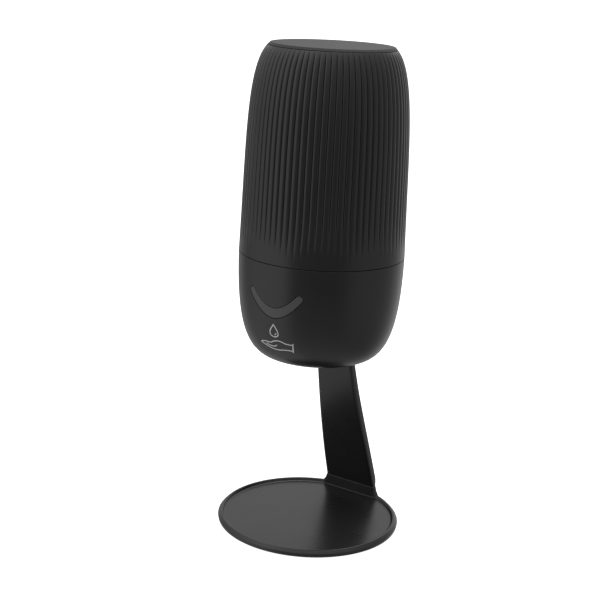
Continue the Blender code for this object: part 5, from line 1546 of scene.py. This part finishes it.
@dataclass
class FootPad:
    """The soft disc under the tray, with fine rings moulded into its underside."""

    radius: float = 0.0440
    thickness: float = 0.0010
    groove_pitch: float = 0.0060
    groove_width: float = 0.0010
    groove_depth: float = 0.0003
    groove_floor: float = 0.6
    rim: float = 0.0030

    def build(self) -> Object:
        """The pad in one piece."""
        corners = [(0.0, self.thickness, 0.0), (self.radius, self.thickness, 0.0001),
                   (self.radius, 0.0, 0.00025)]
        radius = self.radius - self.rim
        half = self.groove_width / 2
        while radius > self.groove_pitch:
            corners += [(radius + reach, rise, 0.0) for reach, rise in (
                (half, 0.0), (half * self.groove_floor, self.groove_depth),
                (-half * self.groove_floor, self.groove_depth), (-half, 0.0))]
            radius -= self.groove_pitch
        pad = turned("foot_pad_disc", [*corners, (0.0, 0.0, 0.0)], 160, steps=3)
        return settle(pad, BLACK_RUBBER, Body.STAND, "foot_pad")


@dataclass
class Screws:
    """Pan-head screws with a cross recess, set where the solids have them."""

    name: str
    nodes: tuple[str, ...]
    direction: Place
    heads: tuple[Place, ...]
    radius: float = 0.0011
    head_radius: float = 0.0023
    head_height: float = 0.0013
    length: float = 0.0070
    head_shares: tuple[Point, ...] = ((0.0, 0.98), (0.5, 0.95), (0.85, 0.72), (1.0, 0.35), (1.0, 0.05),
                                      (0.94, 0.0))
    neck: float = 0.85
    pitch: float = 0.7
    point: float = 1.5
    thread: tuple[Point, Point] = ((0.8, 0.55), (0.99, 0.25))
    tip: Point = (0.7, 1.2)
    tip_end: float = 0.00002
    slot: Point = (0.16, 0.58)
    slot_heights: Point = (0.5, 2.0)
    seed: int = 7

    def pattern(self) -> Object:
        """One screw at the origin with its head up."""
        profile = [(self.head_radius * r, self.head_height * h) for r, h in self.head_shares]
        profile.append((self.radius * self.neck, 0.0))
        turns = int(self.length / (self.radius * self.pitch))
        pitch = (self.length - self.radius * self.point) / turns
        for i in range(turns):
            low = -pitch * (i + 1)
            profile += [(self.radius * out, low + pitch * up) for out, up in self.thread]
        profile += [(self.radius * self.tip[0], -self.length + self.radius * self.tip[1]),
                    (0.0, -self.length + self.tip_end)]
        screw = lathe(self.name + "_pattern", profile, 28, sharp=28.0)
        wide, reach = (self.head_radius * share for share in self.slot)
        slots = [upright_block(f"slot_{i}", [(x, -y), (x, y), (-x, y), (-x, -y)],
                               *(self.head_height * share for share in self.slot_heights))
                 for i, (x, y) in enumerate(((reach, wide), (wide, reach)))]
        return changed_by(screw, slots, Joining.CUT, 28.0)

    def tree(self) -> GeometryTree:
        """A tree that sets a screw on each point, turned by a fixed seed."""
        made = GeometryTree(self.name + "_setter", {"Screw": "Object", "Direction": "Vector", "Seed": "Int"})
        sheet, given = made.sheet, made.given
        shape = sheet.add("GeometryNodeObjectInfo", {"Object": given["Screw"]})
        stood = sheet.add("FunctionNodeAlignRotationToVector", {"Vector": given["Direction"]}, axis="Z")
        turn = sheet.add("FunctionNodeRandomValue", {"Seed": given["Seed"], 3: math.tau}, data_type="FLOAT")
        spun = sheet.add("FunctionNodeAxisAngleToRotation", {
            "Axis": (0.0, 0.0, 1.0), "Angle": turn.outputs[1]})
        both = sheet.add("FunctionNodeRotateRotation", {
            "Rotation": stood.outputs[0], "Rotate By": spun.outputs[0]}, rotation_space="LOCAL")
        placed = sheet.add("GeometryNodeInstanceOnPoints", {
            "Points": given["Geometry"], "Instance": shape.outputs["Geometry"], "Rotation": both.outputs[0]})
        made.end(placed.outputs[0])
        return made

    def build(self) -> Object:
        """All screws of this kind in one piece."""
        pattern = self.pattern()
        mesh = bpy.data.meshes.new(self.name)
        mesh.from_pydata([tuple(h) for h in self.heads], [], [])
        screws = new_object(self.name, mesh)
        up = tuple(-v for v in self.direction)
        self.tree().run_on(screws, screw=pattern, direction=up, seed=self.seed, finish=STEEL.material())
        use_up([pattern])
        shade(screws, 28.0)
        return settle(screws, STEEL, Body.DISPENSER, *self.nodes)


@dataclass
class Hardware:
    """The screws of the bottom cover, the chassis and the pump."""

    under: Underside
    cover_height: float = 0.09355
    chassis_height: float = 0.11415
    chassis_circle: float = 0.0268
    pump_place: Place = (0.01315, -0.0080, 0.1265)
    pump_half_gap: float = 0.0096

    def pair(self, height: float) -> tuple[Place, ...]:
        """The two places beside the column's slot, at a height."""
        return tuple((side * self.under.screw_x, self.under.slot_y, height) for side in (-1, 1))

    def build(self) -> None:
        """All three sets."""
        across = self.chassis_circle * math.sqrt(0.5)
        corners = tuple((a * across, b * across, self.chassis_height) for a in (-1, 1) for b in (-1, 1))
        x, y, z = self.pump_place
        Screws("cover_screws", ("cover_screw_left", "cover_screw_right"), (0.0, 0.0, 1.0),
               self.pair(self.cover_height), head_height=self.under.screw_head).build()
        Screws("chassis_screws", tuple(f"chassis_screw_{i}" for i in range(1, 7)), (0.0, 0.0, -1.0),
               corners + self.pair(self.chassis_height)).build()
        Screws("pump_screws", ("pump_screw_1", "pump_screw_2"), (-1.0, 0.0, 0.0),
               tuple((x, y + side * self.pump_half_gap, z) for side in (-1, 1)), radius=0.0007,
               head_radius=0.0014, head_height=0.0010, length=0.0085).build()


@dataclass
class InnerWorks:
    """The sealed insides, which keep the solids' shapes and get their finishes."""

    def dress(self) -> None:
        """Gives every node that still shows the finish of its slot."""
        shown = 0
        for name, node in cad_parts.items():
            if node.hide_render:
                continue
            slot = node.data.materials[0].name.split(".")[0] if node.data.materials else "black_plastic"
            finish = FINISHES.get(slot, BLACK_PLASTIC)
            finish.coat(node)
            shown += 1
            LOG.info("%s: the solid's own shape in %s", name, finish.slot)
        LOG.info("%d inner solids dressed", shown)


# --- Studio ---


@dataclass(frozen=True)
class Softbox:
    """A soft rectangular light that looks at the dispenser."""

    name: str
    place: Place
    width: float
    height: float
    power: float
    target: Place

    def build(self) -> Object:
        """The light, turned to its target."""
        light = bpy.data.lights.new(self.name, "AREA")
        light.shape = "RECTANGLE"
        light.size, light.size_y = self.width, self.height
        light.energy = self.power
        obj = new_object(self.name, light)
        obj.location = self.place
        obj.rotation_mode = "QUATERNION"
        look = Vector(self.target) - Vector(self.place)
        obj.rotation_quaternion = look.to_track_quat("-Z", "Y")
        return obj


@dataclass(frozen=True)
class Studio:
    """The pale floor, the light of the room, the softbox and the camera of the picture."""

    place: Place = (0.3475, -0.5413, 0.2961)
    heading: float = math.radians(-33.57)
    pitch: float = math.radians(15.26)
    roll: float = math.radians(2.858)
    focal_share: float = 1303.1 / 600.0
    sensor: float = 0.036
    floor_size: float = 4.0
    floor_drop: float = 0.00005
    floor_fibres: float = 300.0
    floor_shade: float = 0.98
    clip: Point = (0.01, 50.0)
    light_round: tuple[Point, ...] = (
        (-180.0, 0.34), (-150.0, 0.42), (-126.0, 0.22), (-112.0, 0.39), (-98.0, 0.64), (-66.0, 0.84),
        (-49.0, 0.84), (-43.0, 0.27), (-34.0, 0.19), (0.0, 0.16), (30.0, 0.20), (45.0, 0.42), (62.0, 0.47),
        (95.0, 0.38), (112.0, 0.38), (128.0, 0.53), (150.0, 0.78), (166.0, 0.52), (180.0, 0.34))
    light_high: tuple[Point, ...] = (
        (-90.0, 0.48), (-55.0, 0.46), (-35.0, 0.24), (-15.0, 0.01), (0.0, 0.04), (12.0, 0.26), (26.0, 0.38),
        (55.0, 0.76), (80.0, 1.20), (90.0, 1.30))
    low_share: float = 0.40
    low_degrees: Point = (-45.0, -20.0)
    high_share: float = 0.28
    high_range: Point = (0.1, 0.8)
    light_seen: float = 1.3
    floor_glow: float = 0.86
    floor_colour: float = 0.75
    top_light: Softbox = Softbox("top_light", (-0.10, 0.35, 0.85), 0.50, 0.40, 1.4, (0.0, 0.0, 0.2))

    def camera(self) -> Object:
        """The camera at the picture's place and angle."""
        h, p = self.heading, self.pitch
        forward = Vector((math.sin(h) * math.cos(p), math.cos(h) * math.cos(p), -math.sin(p)))
        right = Vector((math.cos(h), -math.sin(h), 0.0))
        up = right.cross(forward)
        c, s = math.cos(self.roll), math.sin(self.roll)
        across, upright = c * right + s * up, -s * right + c * up
        data = bpy.data.cameras.new("picture_camera")
        data.sensor_width = self.sensor * 1000.0
        data.lens = self.sensor * 1000.0 * self.focal_share
        data.clip_start, data.clip_end = self.clip
        obj = new_object("picture_camera", data)
        turn = Matrix((across, upright, -forward)).transposed()
        obj.matrix_world = Matrix.Translation(self.place) @ turn.to_4x4()
        bpy.context.scene.camera = obj
        return obj

    def floor(self) -> Object:
        """A pale floor that only a camera above it sees, with a glow that keeps it nearly white."""
        half, z = self.floor_size / 2, -self.floor_drop
        mesh = bpy.data.meshes.new("pale_floor")
        mesh.from_pydata([(-half, -half, z), (half, -half, z), (half, half, z), (-half, half, z)], [],
                         [(0, 1, 2, 3)])
        obj = new_object("pale_floor", mesh)
        material = bpy.data.materials.new("pale_paper")
        material.use_nodes = True
        sheet = NodeSheet(material.node_tree)
        fibres = sheet.noise(sheet.add("ShaderNodeTexCoord").outputs["Object"], self.floor_fibres, 3.0)
        pale = (self.floor_colour,) * 3
        shaded = tuple(c * self.floor_shade for c in pale)
        below = sheet.add("ShaderNodeNewGeometry").outputs["Backfacing"]
        shader = sheet.add("ShaderNodeBsdfPrincipled", {
            "Base Color": sheet.blend(fibres, shaded, pale), "Roughness": 1.0, "Specular IOR Level": 0.0,
            "Emission Color": (1.0, 1.0, 1.0, 1.0), "Emission Strength": self.floor_glow,
            "Alpha": sheet.maths("SUBTRACT", 1.0, below)})
        sheet.add("ShaderNodeOutputMaterial", {"Surface": shader.outputs[0]})
        mesh.materials.append(material)
        obj.visible_diffuse = obj.visible_glossy = obj.visible_shadow = False
        return obj

    @staticmethod
    def levels(sheet: NodeSheet, angle: NodeSocket, reach: float, stops: Sequence[Point]) -> NodeSocket:
        """A level read from a list of angles in degrees and levels.

        Args:
            sheet: the node tree.
            angle: the angle in radians.
            reach: the angle in degrees that ends the list on both sides.
            stops: the list, from -reach to reach.

        Returns:
            The level.
        """
        ramp = sheet.add("ShaderNodeValToRGB")
        bar = ramp.color_ramp
        for i, (degrees, level) in enumerate(stops):
            share = (degrees / reach + 1.0) / 2.0
            stop = bar.elements[i] if i < 2 else bar.elements.new(share)
            stop.position = share
            stop.color = (level / 2.0,) * 3 + (1.0,)
        half_turn = math.radians(reach)
        sheet.join(sheet.remap(angle, -half_turn, half_turn), ramp.inputs[0])
        return sheet.times(sheet.split(ramp.outputs[0])[0], 2.0)

    def world(self) -> None:
        """White behind the object for the camera, and a white tent with a wide panel at its left."""
        world = bpy.data.worlds.new("studio_room")
        world.use_nodes = True
        bpy.context.scene.world = world
        sheet = NodeSheet(world.node_tree)
        seen = sheet.add("ShaderNodeLightPath").outputs["Is Camera Ray"]
        direction = sheet.add("ShaderNodeTexCoord").outputs["Generated"]
        c, s = math.cos(self.heading), math.sin(self.heading)
        across, nearer = (
            sheet.add("ShaderNodeVectorMath", {0: direction, 1: axis}, operation="DOT_PRODUCT").outputs[1]
            for axis in ((c, -s, 0.0), (-s, -c, 0.0)))
        turn = sheet.maths("ARCTAN2", across, nearer)
        rise = sheet.maths("ARCSINE", sheet.split(direction)[2])
        low = sheet.remap(rise, *(math.radians(d) for d in self.low_degrees), self.low_share)
        level = sheet.times(self.levels(sheet, turn, 180.0, self.light_round), low)
        far = sheet.remap(across, *self.high_range, 1.0, self.high_share)
        high = sheet.times(self.levels(sheet, rise, 90.0, self.light_high), far)
        strength = sheet.maths("ADD", sheet.maths("ADD", level, high), sheet.times(seen, self.light_seen))
        back = sheet.add("ShaderNodeBackground", {"Color": (1.0, 1.0, 1.0, 1.0), "Strength": strength})
        sheet.add("ShaderNodeOutputWorld", {"Surface": back.outputs[0]})

    def build(self) -> None:
        """Floor, room, softbox and camera."""
        bpy.context.scene.view_settings.view_transform = "Standard"
        self.floor()
        self.world()
        self.top_light.build()
        self.camera()
        LOG.info("studio ready")


def main() -> None:
    """Builds every sub-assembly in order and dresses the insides."""
    logging.basicConfig(level=logging.INFO, format="%(name)s: %(message)s")
    Stand().build()
    FootPad().build()
    key, cover, bowl = IndicatorKey(), PortCover(), Bowl()
    bowl.build(key, cover)
    key.build()
    cover.build()
    Pictogram().build()
    tank = Tank()
    tank.build()
    tank.build_spout()
    fittings = TankFittings()
    fittings.build_strainer()
    fittings.build_rings()
    Lid().build()
    under = Underside()
    under.build_cover()
    under.build_nozzle()
    under.build_window()
    Hardware(under).build()
    InnerWorks().dress()
    Studio().build()
    bpy.context.view_layer.update()


if __name__ == "__main__":
    main()
